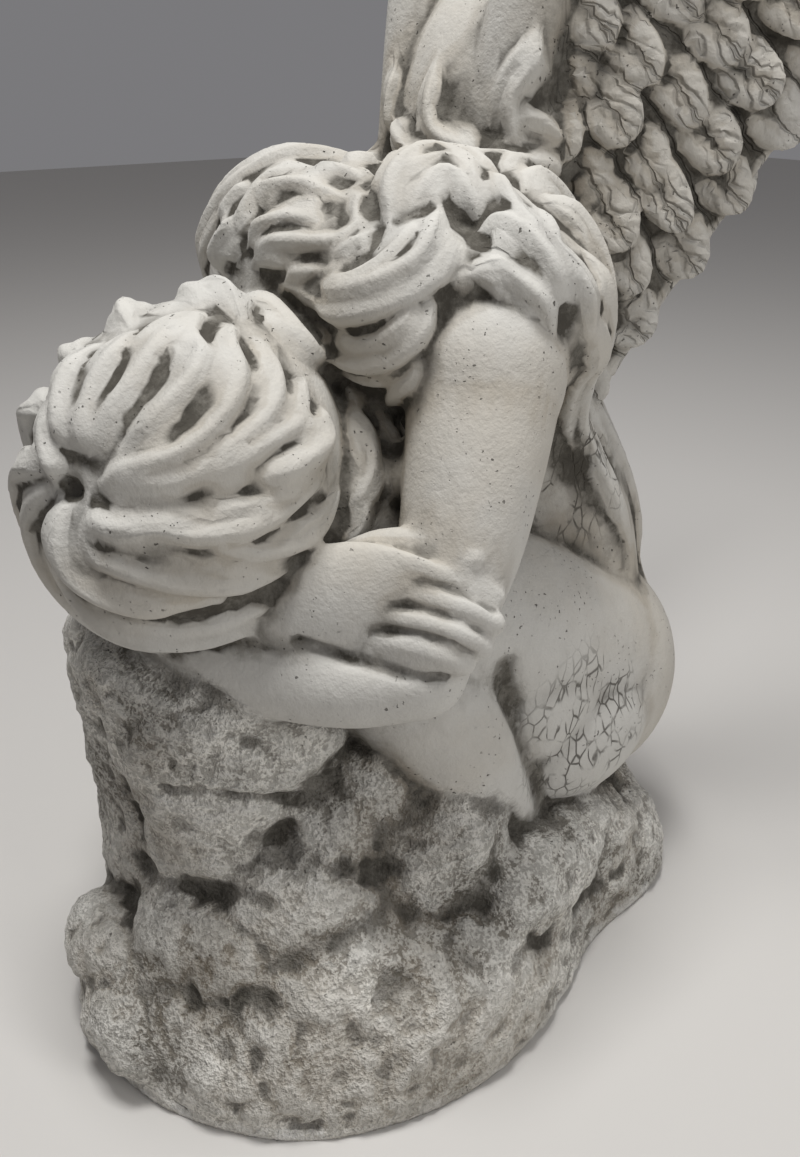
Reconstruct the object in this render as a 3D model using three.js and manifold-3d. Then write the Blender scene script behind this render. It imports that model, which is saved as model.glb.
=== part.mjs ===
// A crouching winged woman, bowed over her folded arms on a rough rock, cast in one piece.
// Millimetres and degrees. She faces -Y, her left side is +X and +Z is up.
// The origin is on the floor, in the middle of the rock.
import * as THREE from 'three';
import { mergeVertices } from 'three/addons/utils/BufferGeometryUtils.js';
import Module from 'manifold-3d';

const wasm = await Module();
wasm.setup();

// Rock
const rockLength = 334; // front to back at the floor
const rockWidth = 305; // side to side at the floor
const skirtHeight = 36; // the near-vertical foot
const seatHeight = 62; // floor up to where she sits
const pillarWidth = 138; // side to side, of the pillar under the forearms
const pillarDepth = 112; // front to back
const boulderSize = 34; // half width of a typical boulder
const rockRelief = 5; // bumps of the rock's faces

// Figure: its pose is drawn on a body of drawnHeight and carried to figureHeight
const figureHeight = 300; // seat up to the hair on the bowed shoulders
const drawnHeight = 300; // its figures, in pose, stand for millimetres at this height

// Hair
const lockRise = 6; // how far a lock of the head stands up
const headLocks = 15; // round the crown
const ropeWidth = 24; // the thick strands over the shoulders
const ropeRise = 12;
const strandWidth = 22; // the strands that fall over the shoulders
const strandRise = 7;
const backStrands = 7;

// Wings
const wingHeight = 326; // shoulder blade up to the tip
const wingChord = 172; // leading bar to the edge of the web, at the widest
const wingSweep = 56; // from straight sideways to straight back
const wingBar = 23; // half thickness of the smooth leading bar at the shoulder blade
const webThickness = 13; // mean, between the faces the feathers stand on
const bridgeShare = 0.4; // share of the height over which the two bars are one
const webStart = 0.09; // share of the bar below the web's first feather
const wingFeathers = 11; // along a row
const featherLength = 54; // also how far the web's lines droop at its foot
const featherRise = 7; // end of a feather above the root of the next
const featherScallop = 0.07; // share of the chord between the tip and the edges of a feather

const fingerRadius = 5.2;
const fingerPitch = 8.4; // finger to finger on the elbow

const radians = THREE.MathUtils.degToRad;
const vec = (x, y, z) => new THREE.Vector3(x, y, z);
const mix = THREE.MathUtils.lerp;

// A point of the figure, from the drawn body with its height counted from the seat
const bodyScale = figureHeight / drawnHeight;
const at = (x, y, z) => vec(x * bodyScale, y * bodyScale, seatHeight + z * bodyScale);

// A closed body from rows of points, every row the same way round. Both ends close on a
// point: tail before the first row and nose behind the last.
function skin(rows, tail, nose) {
  const sides = rows[0].length;
  const tailIndex = rows.length * sides;
  const last = (rows.length - 1) * sides;
  const faces = [];
  for (let side = 0; side < sides; side += 1) {
    const next = (side + 1) % sides;
    faces.push(tailIndex, next, side, tailIndex + 1, last + side, last + next);
    for (let low = 0; low < last; low += sides) {
      const high = low + sides;
      faces.push(low + side, low + next, high + next, low + side, high + next, high + side);
    }
  }
  return closedSolid([...rows.flat(), tail, nose], faces);
}

// A closed body whose rows are ellipses { centre, across, up }
function ringBody(rings, sides, nose, tail) {
  const rows = rings.map(({ centre, across, up }) => {
    const row = [];
    for (let side = 0; side < sides; side += 1) {
      const angle = (2 * Math.PI * side) / sides + Math.PI / 2;
      row.push(centre.clone().addScaledVector(across, Math.cos(angle))
        .addScaledVector(up, Math.sin(angle)));
    }
    return row;
  });
  return skin(rows, tail, nose);
}

// Points and faces to a solid, with its faces turned outwards
function closedSolid(points, faces) {
  let volume = 0;
  for (let face = 0; face < faces.length; face += 3) {
    const [a, b, c] = [points[faces[face]], points[faces[face + 1]], points[faces[face + 2]]];
    volume += a.dot(b.clone().cross(c));
  }
  const triVerts = new Uint32Array(faces);
  if (volume < 0) {
    triVerts.reverse();
  }
  const vertProperties = new Float32Array(points.flatMap((point) => point.toArray()));
  return new wasm.Manifold(new wasm.Mesh({ numProp: 3, vertProperties, triVerts }));
}

// A limb: round or oval sections on a smooth curve through its stations [x, y, z, half
// width, half depth], with rounded ends. across is the direction of the half width.
function limb(stations, sides = 10, across = vec(1, 0, 0), perSpan = 2) {
  const curve = new THREE.CatmullRomCurve3(stations.map(([x, y, z]) => at(x, y, z)));
  const spans = stations.length - 1;
  const half = (t, which) => {
    const place = Math.min(t * spans, spans - 1e-6);
    const span = Math.floor(place);
    const [from, to] = [stations[span], stations[span + 1]];
    return mix(from[which] ?? from[3], to[which] ?? to[3], place - span) * bodyScale;
  };
  const rings = [];
  const addRing = (t, shrink, push) => {
    const tangent = curve.getTangent(t);
    const side = across.clone().addScaledVector(tangent, -across.dot(tangent)).normalize();
    const up = tangent.clone().cross(side).normalize();
    const centre = curve.getPoint(t).addScaledVector(tangent, push);
    rings.push({
      centre,
      across: side.multiplyScalar(half(t, 3) * shrink),
      up: up.multiplyScalar(half(t, 4) * shrink),
    });
  };
  const depthAt = (t) => Math.min(half(t, 3), half(t, 4));
  const cap = radians(50);
  addRing(0, Math.cos(cap), -Math.sin(cap) * depthAt(0));
  for (let step = 0; step <= spans * perSpan; step += 1) {
    addRing(step / (spans * perSpan), 1, 0);
  }
  addRing(1, Math.cos(cap), Math.sin(cap) * depthAt(1));
  const tail = curve.getPoint(0).addScaledVector(curve.getTangent(0), -depthAt(0));
  const nose = curve.getPoint(1).addScaledVector(curve.getTangent(1), depthAt(1));
  return ringBody(rings, sides, nose, tail);
}

// An ellipsoid of the figure, from the drawn body's centre and half axes
function mass([x, y, z], [a, b, c], around = 10) {
  const geometry = new THREE.SphereGeometry(1, around, Math.round(around * 0.6));
  geometry.scale(a * bodyScale, b * bodyScale, c * bodyScale);
  geometry.translate(...at(x, y, z).toArray());
  return solidOf(geometry);
}

function solidOf(geometry) {
  geometry.deleteAttribute('normal');
  geometry.deleteAttribute('uv');
  const merged = mergeVertices(geometry, 1e-4);
  const place = merged.getAttribute('position');
  const points = [];
  for (let index = 0; index < place.count; index += 1) {
    points.push(vec(place.getX(index), place.getY(index), place.getZ(index)));
  }
  return closedSolid(points, Array.from(merged.getIndex().array));
}

// A strand that lies on a surface: points are { place, normal }, and its section is an
// oval of the given width, sunk so that its back stands rise above the surface. It swells
// from a thin root and thins again to its tip.
function strand(points, { width, rise, sides = 5, root = 0.45, tip = 0.3, steps = 6 }) {
  const curve = new THREE.CatmullRomCurve3(points.map(({ place }) => place));
  const normals = new THREE.CatmullRomCurve3(points.map(({ normal }) => normal));
  const rings = [];
  for (let step = 0; step <= steps; step += 1) {
    const t = step / steps;
    const swell = Math.sin(Math.PI * Math.min(t * 0.9 + 0.12, 1)) ** 0.6;
    const ends = mix(root, 1, Math.min(1, t * 4)) * mix(tip, 1, Math.min(1, (1 - t) * 3));
    const size = Math.max(swell * ends, 0.18);
    const tangent = curve.getTangent(t);
    const normal = normals.getPoint(t).normalize();
    const side = tangent.clone().cross(normal).normalize();
    const thick = 0.62 * width * size;
    const centre = curve.getPoint(t).addScaledVector(normal, rise * size - thick);
    rings.push({
      centre,
      across: side.multiplyScalar((width / 2) * size),
      up: normal.clone().multiplyScalar(thick),
    });
  }
  const tail = rings[0].centre.clone().addScaledVector(curve.getTangent(0), -width * 0.12);
  const nose = rings[steps].centre.clone().addScaledVector(curve.getTangent(1), width * 0.14);
  return ringBody(rings, sides, nose, tail);
}

// Bumps of a broken stone face, from -1 to 1, the same at the same place each time
function stoneBump(point, grain) {
  const [x, y, z] = [point.x / grain, point.y / grain, point.z / grain];
  const broad = Math.sin(x * 2.1 + Math.sin(y * 1.7) * 1.4) * Math.cos(y * 1.9 - z * 1.3);
  const fine = Math.sin(z * 3.7 + x * 2.9) * Math.cos(y * 4.3 + Math.sin(x * 3.1));
  return 0.65 * broad + 0.35 * fine;
}

// Rock: the outline at the floor, as shares of half the width and half the length
const rockOutline = [
  [0.26, -0.98], [0.59, -0.89], [0.88, -0.67], [1.02, -0.39], [1.05, -0.12], [0.98, 0.15],
  [0.86, 0.42], [0.8, 0.75], [0.62, 0.91], [0.23, 1.0], [-0.26, 0.96], [-0.66, 0.75],
  [-0.88, 0.36], [-0.92, -0.04], [-0.82, -0.34], [-0.56, -0.56], [-0.26, -0.72], [0.0, -0.88],
];

// Rings of the outline, drawn in as they rise, and closed with a low dome
function rockFoot() {
  const outline = new THREE.CatmullRomCurve3(
    rockOutline.map(([x, y]) => vec((x * rockWidth) / 2, (y * rockLength) / 2, 0)),
    true,
  );
  const sides = 36;
  const levels = [
    [-10, 0.985], [skirtHeight * 0.45, 1.0], [skirtHeight, 0.96],
    [mix(skirtHeight, seatHeight, 0.55), 0.88], [seatHeight, 0.72],
  ];
  const rows = levels.map(([height, spread]) => {
    const row = [];
    for (let side = 0; side < sides; side += 1) {
      const place = outline.getPoint(side / sides).setZ(height);
      const lump = 1 + (2 * rockRelief * stoneBump(place, 24)) / rockWidth;
      row.push(vec(place.x * spread * lump, place.y * spread * lump, height));
    }
    return row;
  });
  return skin(rows, vec(0, 0, -10), vec(0, 0, seatHeight + 8));
}

// A boulder: a ball of flat faces, pressed to its half axes and broken by the bumps
function boulder(x, y, z, a, b, c, detail = 1) {
  const geometry = new THREE.IcosahedronGeometry(1, detail);
  const place = geometry.getAttribute('position');
  for (let index = 0; index < place.count; index += 1) {
    const point = vec(place.getX(index) * a, place.getY(index) * b, place.getZ(index) * c);
    const world = point.clone().add(vec(x, y, z));
    point.multiplyScalar(1 + (rockRelief / boulderSize) * 0.9 * stoneBump(world, 15));
    place.setXYZ(index, point.x + x, point.y + y, point.z + z);
  }
  return solidOf(geometry);
}

// Boulders lean on the rock's edge: [angle from +X, how far out, height, size, flatness]
const boulders = [
  [-72, 0.8, 44, 1.2, 0.75], [-46, 0.82, 30, 0.95, 0.8], [-20, 0.84, 34, 1.0, 0.85],
  [-10, 0.5, 60, 1.35, 0.8], [14, 0.7, 50, 1.1, 0.8], [40, 0.78, 38, 1.05, 0.75],
  [66, 0.8, 34, 1.0, 0.7], [98, 0.82, 36, 1.1, 0.7], [130, 0.76, 34, 1.05, 0.7],
  [160, 0.66, 38, 1.05, 0.7], [-160, 0.62, 34, 1.0, 0.8],
];

function rock() {
  const parts = [rockFoot()];
  for (const [angle, out, height, size, flat] of boulders) {
    const half = boulderSize * size;
    const x = (Math.cos(radians(angle)) * out * rockWidth) / 2;
    const y = (Math.sin(radians(angle)) * out * rockLength) / 2;
    parts.push(boulder(x, y, height, half, half, half * flat));
  }
  parts.push(pillar());
  return parts;
}

// The pillar carries the forearms: rings of a squared oval, broken by the bumps
function pillar() {
  const top = at(0, 0, pose.forearmHeight).z - 10 * bodyScale;
  const headRest = 10 * bodyScale;
  const middle = at(9, -71, 0);
  const levels = [
    [seatHeight - 30, 1.25], [mix(seatHeight, top, 0.12), 1.12], [mix(seatHeight, top, 0.45), 0.98],
    [mix(seatHeight, top, 0.72), 1.02], [top - 8, 0.99], [top, 0.86],
  ];
  const sides = 18;
  const square = (value) => Math.sign(value) * Math.abs(value) ** 0.7;
  const rows = levels.map(([height, spread]) => {
    const row = [];
    for (let side = 0; side < sides; side += 1) {
      const angle = (2 * Math.PI * side) / sides;
      const point = vec(
        middle.x + (square(Math.cos(angle)) * spread * pillarWidth) / 2,
        middle.y + (square(Math.sin(angle)) * spread * pillarDepth) / 2,
        height,
      );
      // Its far front corner is cut back, and the front of its top rises to the head
      const inFront = point.y < middle.y;
      point.y += inFront ? Math.max(0, -0.35 * (point.x - middle.x) - 0.1 * pillarWidth) : 0;
      point.z += height === top && inFront ? headRest : 0;
      const push = rockRelief * stoneBump(point, 17);
      row.push(point.add(vec(push * Math.cos(angle), push * Math.sin(angle), 0)));
    }
    return row;
  });
  const foot = levels[0][0] - 4;
  return skin(rows, middle.clone().setZ(foot), middle.clone().setZ(top + 2));
}

// Pose of the drawn body: [x, y, height above the seat, half width, half depth]
const pose = {
  forearmHeight: 124,
  torso: [
    [0, 112, 24, 78, 50], [0, 112, 66, 86, 58], [0, 106, 118, 82, 58], [0, 82, 172, 72, 56],
    [0, 60, 212, 72, 55], [0, 44, 246, 64, 42],
  ],
  neck: [[0, 24, 250, 34], [14, -40, 214, 34]],
  leftArm: [
    [82, 24, 240, 26], [91, 15, 222, 25.5], [98, 5, 203, 24.5], [107, -9, 172, 22.5],
    [112, -30, 138, 18.5],
  ],
  leftForearm: [
    [112, -32, 130, 19], [92, -54, 126, 21], [62, -80, 126, 18], [34, -98, 130, 14],
  ],
  rightArm: [[-80, 30, 248, 26], [-84, -8, 206, 24.5], [-72, -52, 163, 22], [-52, -84, 134, 20]],
  rightForearm: [[-52, -84, 132, 20], [0, -84, 138, 19], [46, -78, 146, 16], [76, -66, 151, 14]],
  thigh: [[50, 122, 52, 50], [56, 88, 74, 51], [62, 38, 103, 47], [68, -12, 124, 36]],
  shin: [[74, -22, 112, 30], [80, -8, 92, 32], [84, 8, 66, 32], [84, 30, 26, 28], [82, 44, 0, 22]],
};

function mirrored(stations) {
  return stations.map(([x, ...rest]) => [-x, ...rest]);
}

// The torso leans forward. Strands of hair run down its back: every strand is one crest
// and one valley of the skin, and they wave and fade out over the hips.
function torso() {
  const stations = pose.torso;
  const levels = 8;
  const curve = new THREE.CatmullRomCurve3(stations.map(([, y, z]) => vec(0, y, z)));
  const halves = new THREE.CatmullRomCurve3(stations.map(([, , , w, d]) => vec(w, d, 0)));
  const rows = [];
  for (let level = 0; level <= levels; level += 1) {
    const centre = curve.getPoint(level / levels);
    const half = halves.getPoint(level / levels);
    const hair = THREE.MathUtils.smoothstep(centre.z, 80, 170);
    const wave = 4 * Math.sin(centre.z * 0.07);
    const row = [];
    for (let front = 0; front < 6; front += 1) {
      const angle = radians(186 + front * 33.6);
      row.push(at(half.x * Math.cos(angle), centre.y + half.y * Math.sin(angle), centre.z));
    }
    for (let column = 0; column <= 2 * backStrands; column += 1) {
      const angle = radians(mix(2, 178, column / (2 * backStrands)) + (column % 2 ? wave : -wave));
      const out = 1 + (column % 2 ? (strandRise * hair) / half.y : 0);
      const place = vec(half.x * out * Math.cos(angle), half.y * out * Math.sin(angle), 0);
      row.push(at(place.x, centre.y + place.y, centre.z));
    }
    rows.push(row);
  }
  const [low, high] = [stations[0], stations[stations.length - 1]];
  return skin(rows, at(0, low[1], low[2] - 30), at(0, high[1] - 6, high[2] + 30));
}

// Body and limbs, with the lap and the hollow before the chest filled as a caster fills them
function body() {
  const [sideways, forward, upright] = [vec(1, 0, 0), vec(0, 1, 0), vec(0, 0, 1)];
  return [
    torso(),
    limb(pose.neck, 8, sideways, 1),
    limb(pose.leftArm, 10, forward, 1),
    limb(pose.leftForearm, 8, upright, 1),
    limb(pose.rightArm, 8, forward, 1),
    limb(pose.rightForearm, 6, upright, 1),
    limb(pose.thigh, 10, sideways, 1),
    limb(pose.shin, 8, sideways, 1),
    limb(mirrored(pose.thigh), 8, sideways, 1),
    limb(mirrored(pose.shin), 8, sideways, 1),
    mass([54, 116, 46], [52, 54, 62], 12),
    mass([-54, 116, 46], [52, 54, 62]),
    mass([64, 86, 34], [46, 46, 38]),
    mass([-64, 86, 34], [46, 46, 38], 8),
    mass([86, 20, 232], [27, 30, 34], 12),
    mass([0, 20, 66], [78, 84, 60], 8),
    mass([26, -24, 170], [60, 44, 62], 8),
    ...hand(),
  ];
}

// The right hand lies over the left elbow: a flat back of the hand, a thumb and four fingers
function hand() {
  const parts = [limb(
    [[76, -66, 151, 15, 11], [90, -54, 157, 21, 12], [103, -42, 162, 22, 10]],
    6,
    vec(0, 0, 1),
    1,
  )];
  for (let digit = 0; digit < 5; digit += 1) {
    const [x, y, z] = [95 + 2.2 * digit, -34 - 2.6 * digit, 180 - (fingerPitch / bodyScale) * digit];
    const long = digit === 0 ? 0.78 : 1 - 0.08 * Math.abs(digit - 2);
    const radius = fingerRadius / bodyScale;
    parts.push(limb([
      [x, y, z - 1, radius], [x + 15 * long, y + 5 * long, z + 2, radius * 1.05],
      [x + 28 * long, y + 15 * long, z, radius], [x + 31 * long, y + 25 * long, z - 5, radius * 0.85],
    ], 6, vec(0, 0, 1), 1));
  }
  return parts;
}

// Head: an egg along headAxis. Its surface is read by longitude, from the nape round by
// the left ear, and by colatitude from the crown.
const headCentre = at(26, -78, 194);
const headRadius = 60 * bodyScale;
const headLength = 69 * bodyScale;
const headAxis = vec(-0.15, 0.5, 0.85).normalize();
const crown = vec(0.42, -0.86, 0.3).normalize();
const toNape = headAxis.clone().addScaledVector(crown, -headAxis.dot(crown)).normalize();
const toEar = crown.clone().cross(toNape).normalize();
toEar.multiplyScalar(Math.sign(toEar.x));

function onHead(longitude, colatitude) {
  const [around, down] = [radians(longitude), radians(colatitude)];
  const direction = crown.clone().multiplyScalar(Math.cos(down))
    .addScaledVector(toNape, Math.sin(down) * Math.cos(around))
    .addScaledVector(toEar, Math.sin(down) * Math.sin(around));
  const along = direction.dot(headAxis);
  const place = headCentre.clone().addScaledVector(direction, headRadius)
    .addScaledVector(headAxis, along * (headLength - headRadius));
  const normal = direction.clone().addScaledVector(headAxis, along * (headRadius / headLength - 1));
  return { place, normal: normal.normalize() };
}

// Locks spring from the crown and lean over towards the nape as they run down. Every lock
// is a valley, a crest and a shoulder of the skin, and each third one stands lower.
function headHair() {
  const downs = [7, 16, 28, 41, 55, 70, 86, 103, 124, 150];
  const rows = downs.map((down, level) => {
    const lean = 44 * THREE.MathUtils.smoothstep(down, 4, 110);
    const grown = THREE.MathUtils.smoothstep(down, 2, 34) * (down > 120 ? 0.5 : 1);
    const row = [];
    for (let lock = 0; lock < headLocks; lock += 1) {
      const start = -180 + (360 * lock) / headLocks;
      const rise = lockRise * grown * (lock % 3 === 1 ? 0.6 : 1.1);
      const swing = 3.5 * grown * Math.sin(level * 1.15 + lock * 2.1);
      [[0, -0.35], [0.3, 1], [0.72, 0.7]].forEach(([across, lift]) => {
        const longitude = start + (360 * across) / headLocks + swing;
        const { place, normal } = onHead(longitude - lean * Math.sin(radians(longitude)), down);
        row.push(place.addScaledVector(normal, rise * lift));
      });
    }
    return row;
  });
  return [skin(rows, onHead(0, 0).place, onHead(0, 180).place)];
}

// Hair over the nape and the far shoulder: an egg across the shoulders, read by x and by
// the angle from its front over its top
const maneCentre = at(-12, 10, 250);
const maneHalf = [92, 50, 56].map((half) => half * bodyScale);

function onMane(x, angle) {
  const part = THREE.MathUtils.clamp((x * bodyScale) / maneHalf[0], -0.98, 0.98);
  const round = Math.sqrt(1 - part * part);
  const direction = vec(part, -Math.cos(radians(angle)) * round, Math.sin(radians(angle)) * round);
  const place = maneCentre.clone().add(direction.clone().multiply(vec(...maneHalf)));
  return { place, normal: direction.divide(vec(...maneHalf)).normalize() };
}

function maneHair() {
  const parts = [mass([-12, 10, 250], [92, 50, 56], 14), mass([38, 44, 250], [60, 46, 50])];
  // Ropes that rise from behind the near shoulder and swing down to the front, one inside
  // the other
  const ropes = 5;
  for (let rope = 0; rope < ropes; rope += 1) {
    const k = rope / (ropes - 1);
    const points = [
      onMane(72 - 50 * k, 118), onMane(80 - 56 * k, 78), onMane(80 - 66 * k, 46 + 22 * k),
      onMane(58 - 74 * k, 24 + 32 * k), onMane(22 - 78 * k, 20 + 28 * k),
      onMane(-6 - 74 * k, 6 + 26 * k),
    ];
    parts.push(strand(points, { width: ropeWidth, rise: ropeRise * (1 - 0.3 * k), steps: 7 }));
  }
  // Curls that hang below them
  for (let curl = 0; curl < 2; curl += 1) {
    const drop = 20 * curl;
    const points = [
      onMane(88, 30 - drop), onMane(84, 6 - drop), onMane(66, -8 - drop), onMane(42, -4 - drop),
      onMane(20, 2 - drop),
    ];
    parts.push(strand(points, { width: ropeWidth * 0.9, rise: ropeRise, steps: 5 }));
  }
  // Strands of the far side, down over the far shoulder
  for (let side = 0; side < 3; side += 1) {
    const points = [
      onMane(-20 - 16 * side, 120), onMane(-40 - 14 * side, 84), onMane(-56 - 11 * side, 44),
      onMane(-62 - 9 * side, 4), onMane(-58 - 8 * side, -30),
    ];
    parts.push(strand(points, { width: ropeWidth, rise: ropeRise * 0.8, steps: 4 }));
  }
  return parts;
}

// Strands that come over each shoulder beside the wing and fall behind the arm
function shoulderHair() {
  const parts = [];
  for (const flip of [1, -1]) {
    for (let fall = 0; fall < 3; fall += 1) {
      const out = 10 * fall;
      const knots = [
        [44 + out, 30 + out, 292 - 6 * fall, 0, 0, 1],
        [74 + out * 0.7, 44 + out, 276 - 5 * fall, 0.5, 0.4, 0.8],
        [86 + out * 0.3, 66 + out, 236, 1, 0.7, 0.2],
        [84 - out * 0.3, 92 + out * 0.6, 190 - 8 * fall, 1, 0.9, 0],
      ];
      const points = knots.map(([x, y, z, a, b, c]) => (
        { place: at(flip * x, y, z), normal: vec(flip * a, b, c).normalize() }
      ));
      const shape = { width: strandWidth, rise: strandRise, root: 0.8, tip: 0.35, steps: 4 };
      parts.push(strand(points, shape));
    }
  }
  return parts;
}

// Wing of one side: flip is 1 for her left and -1 for her right. A smooth bar leads, and
// the web behind it is one skin, whose faces are rows of overlapping feathers.
function wing(flip) {
  const root = at(flip * 30, 70, 228);
  const outward = vec(flip * Math.cos(radians(wingSweep)), Math.sin(radians(wingSweep)), 0);
  const face = vec(flip * Math.sin(radians(wingSweep)), -Math.cos(radians(wingSweep)), 0);
  // The bar rises from the shoulder blade and leans out and back near the tip
  const bar = (t) => root.clone().add(vec(
    flip * wingHeight * 0.22 * t ** 2.6,
    wingHeight * 0.3 * t ** 2.6,
    wingHeight * t,
  ));
  const barRings = [];
  const barSteps = 6;
  for (let step = 0; step <= barSteps; step += 1) {
    const t = step / barSteps;
    const thick = wingBar * (1 - 0.62 * t);
    barRings.push({
      centre: bar(t),
      across: outward.clone().multiplyScalar(thick),
      up: face.clone().multiplyScalar(thick * 0.85),
    });
  }
  const above = bar(1).add(vec(0, 0, wingBar * 0.3));
  const below = bar(0).add(vec(0, 0, -wingBar));
  return [ringBody(barRings, 8, above, below), web(bar, outward, face)];
}

// The web: lines run from the bar to the edge, drooping at the foot and rising at the tip.
// Along a line the front face climbs to the end of each feather and drops behind it.
function web(bar, outward, face) {
  const front = [0.34, 0.57, 0.79, 1];
  const back = [1, 0.72, 0.42];
  const chord = (t) => wingChord * (0.34 + 1.6 * t - 0.9 * t * t - 0.74 * t ** 6);
  // How full a feather is between its edges, at a place counted in feathers
  const fullness = (place) => Math.sin(Math.PI * (place - Math.floor(place))) ** 0.6;
  const half = webThickness / 2;
  const columns = wingFeathers * 4;
  const rows = [];
  for (let column = 0; column <= columns; column += 1) {
    const v = column / columns;
    const start = bar(mix(webStart, 1, v));
    const fan = featherLength * mix(-0.95, 0.6, v ** 0.7);
    const thin = 1 - 0.45 * v;
    const point = (u, lift) => start.clone()
      .addScaledVector(outward, chord(v) * u)
      .addScaledVector(face, lift * thin)
      .add(vec(0, 0, fan * u));
    const row = [point(0.02, half)];
    let from = 0.04;
    front.forEach((share, index) => {
      const full = fullness(v * wingFeathers + 0.5 * (index % 2));
      const tip = share - featherScallop * (1 - full);
      const lift = featherRise * mix(0.3, 1, full);
      row.push(point(from, half * 0.7), point(mix(from, tip, 0.55), half * 0.7 + lift * 0.7));
      row.push(point(tip, half * 0.7 + lift));
      from = tip + 0.012;
    });
    back.forEach((share, index) => {
      const full = fullness(v * wingFeathers * 0.5 + 0.5 * (index % 2));
      const tip = index === 0 ? from - 0.012 : share - featherScallop * (1 - full);
      row.push(point(tip + 0.01, -half * 0.5), point(tip - 0.01, -half - featherRise * 0.6 * full));
    });
    row.push(point(0.02, -half));
    rows.push(row);
  }
  const [first, last] = [rows[0], rows[columns]];
  const middle = (row) => row.reduce((sum, point) => sum.add(point), vec(0, 0, 0))
    .divideScalar(row.length);
  return skin(rows, middle(first), middle(last));
}

// Between the shoulder blades the two bars run into each other for some way up
function barBridge() {
  const low = [0, 70, 228, 30, 21];
  const high = [0, 82, 228 + wingHeight * bridgeShare, 22, 13];
  const middle = low.map((value, index) => mix(value, high[index], 0.5));
  return limb([low, middle, high], 8, vec(1, 0, 0), 1);
}

// Everything is one casting: joined, cut flat at the floor, and solid right through
function castStatue() {
  const parts = [
    ...rock(), ...body(), ...headHair(), ...maneHair(), ...shoulderHair(),
    ...wing(1), ...wing(-1), barBridge(),
  ];
  const joined = wasm.Manifold.union(parts);
  const reach = 4 * (rockLength + figureHeight);
  const below = new THREE.BoxGeometry(reach, reach, reach);
  below.translate(0, 0, -reach / 2);
  const cut = joined.subtract(solidOf(below));
  const shells = cut.decompose().filter((shell) => shell.volume() > 0);
  return wasm.Manifold.union(shells);
}

function meshOf(solid, name, material) {
  const { vertProperties, triVerts } = solid.getMesh();
  const geometry = new THREE.BufferGeometry();
  geometry.setAttribute('position', new THREE.BufferAttribute(Float32Array.from(vertProperties), 3));
  geometry.setIndex(new THREE.BufferAttribute(Uint32Array.from(triVerts), 1));
  geometry.computeVertexNormals();
  const mesh = new THREE.Mesh(geometry, material);
  mesh.name = name;
  return mesh;
}

const castStone = new THREE.MeshStandardMaterial({ color: 0xc9c6bd, roughness: 0.92, metalness: 0 });
const group = new THREE.Group();
group.add(meshOf(castStatue(), 'winged_woman_statue', castStone));

export default group;
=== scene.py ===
import bpy
import numpy as np
from mathutils import Matrix, Vector
from mathutils.bvhtree import BVHTree


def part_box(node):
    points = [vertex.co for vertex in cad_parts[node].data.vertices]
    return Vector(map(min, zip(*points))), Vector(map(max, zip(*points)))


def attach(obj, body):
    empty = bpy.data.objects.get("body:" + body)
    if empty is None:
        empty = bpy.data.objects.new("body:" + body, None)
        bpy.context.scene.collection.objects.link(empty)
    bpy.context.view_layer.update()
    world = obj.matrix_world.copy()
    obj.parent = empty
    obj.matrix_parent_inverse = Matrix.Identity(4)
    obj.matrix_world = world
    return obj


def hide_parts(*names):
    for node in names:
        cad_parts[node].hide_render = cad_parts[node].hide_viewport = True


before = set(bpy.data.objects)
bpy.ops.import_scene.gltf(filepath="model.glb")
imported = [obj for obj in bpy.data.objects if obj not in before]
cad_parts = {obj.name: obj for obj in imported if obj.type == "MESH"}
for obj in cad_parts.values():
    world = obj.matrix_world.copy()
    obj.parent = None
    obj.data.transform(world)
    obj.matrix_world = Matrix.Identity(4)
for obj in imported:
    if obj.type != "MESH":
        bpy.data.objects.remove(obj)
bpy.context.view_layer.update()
lowCorner, highCorner = [np.array(corner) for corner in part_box("winged_woman_statue")]
drawnHeight = 648.7  # the statue is drawn at this height, in mm, and carried to the frame's
mm = (highCorner[2] - lowCorner[2]) / drawnHeight
rng = np.random.default_rng(7)
print("frame: height %.3f m, one drawn mm is %.6f m" % (highCorner[2] - lowCorner[2], mm))


# Curves and closed bodies, all as whole arrays

def unit(a):
    # Each vector divided by its length
    return a / np.linalg.norm(a, axis=-1, keepdims=True)


def smoothStep(low, high, value):
    # 3 t^2 - 2 t^3, where t runs from 0 at low to 1 at high
    t = np.clip((value - low) / (high - low), 0, 1)
    return t * t * (3 - 2 * t)


def curveThrough(points, count):
    # Each span is the cubic whose slopes at its ends are half the chord of the neighbours
    p = np.asarray(points, float)
    p = np.vstack([2 * p[0] - p[1], p, 2 * p[-1] - p[-2]])
    t = np.linspace(0, len(points) - 1, count)
    i = np.minimum(t.astype(int), len(points) - 2)
    f = (t - i)[:, None]
    a, b, c, d = p[i], p[i + 1], p[i + 2], p[i + 3]
    return 0.5 * (2 * b + (c - a) * f + (2 * a - 5 * b + 4 * c - d) * f**2 + (3 * b - a - 3 * c + d) * f**3)


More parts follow.
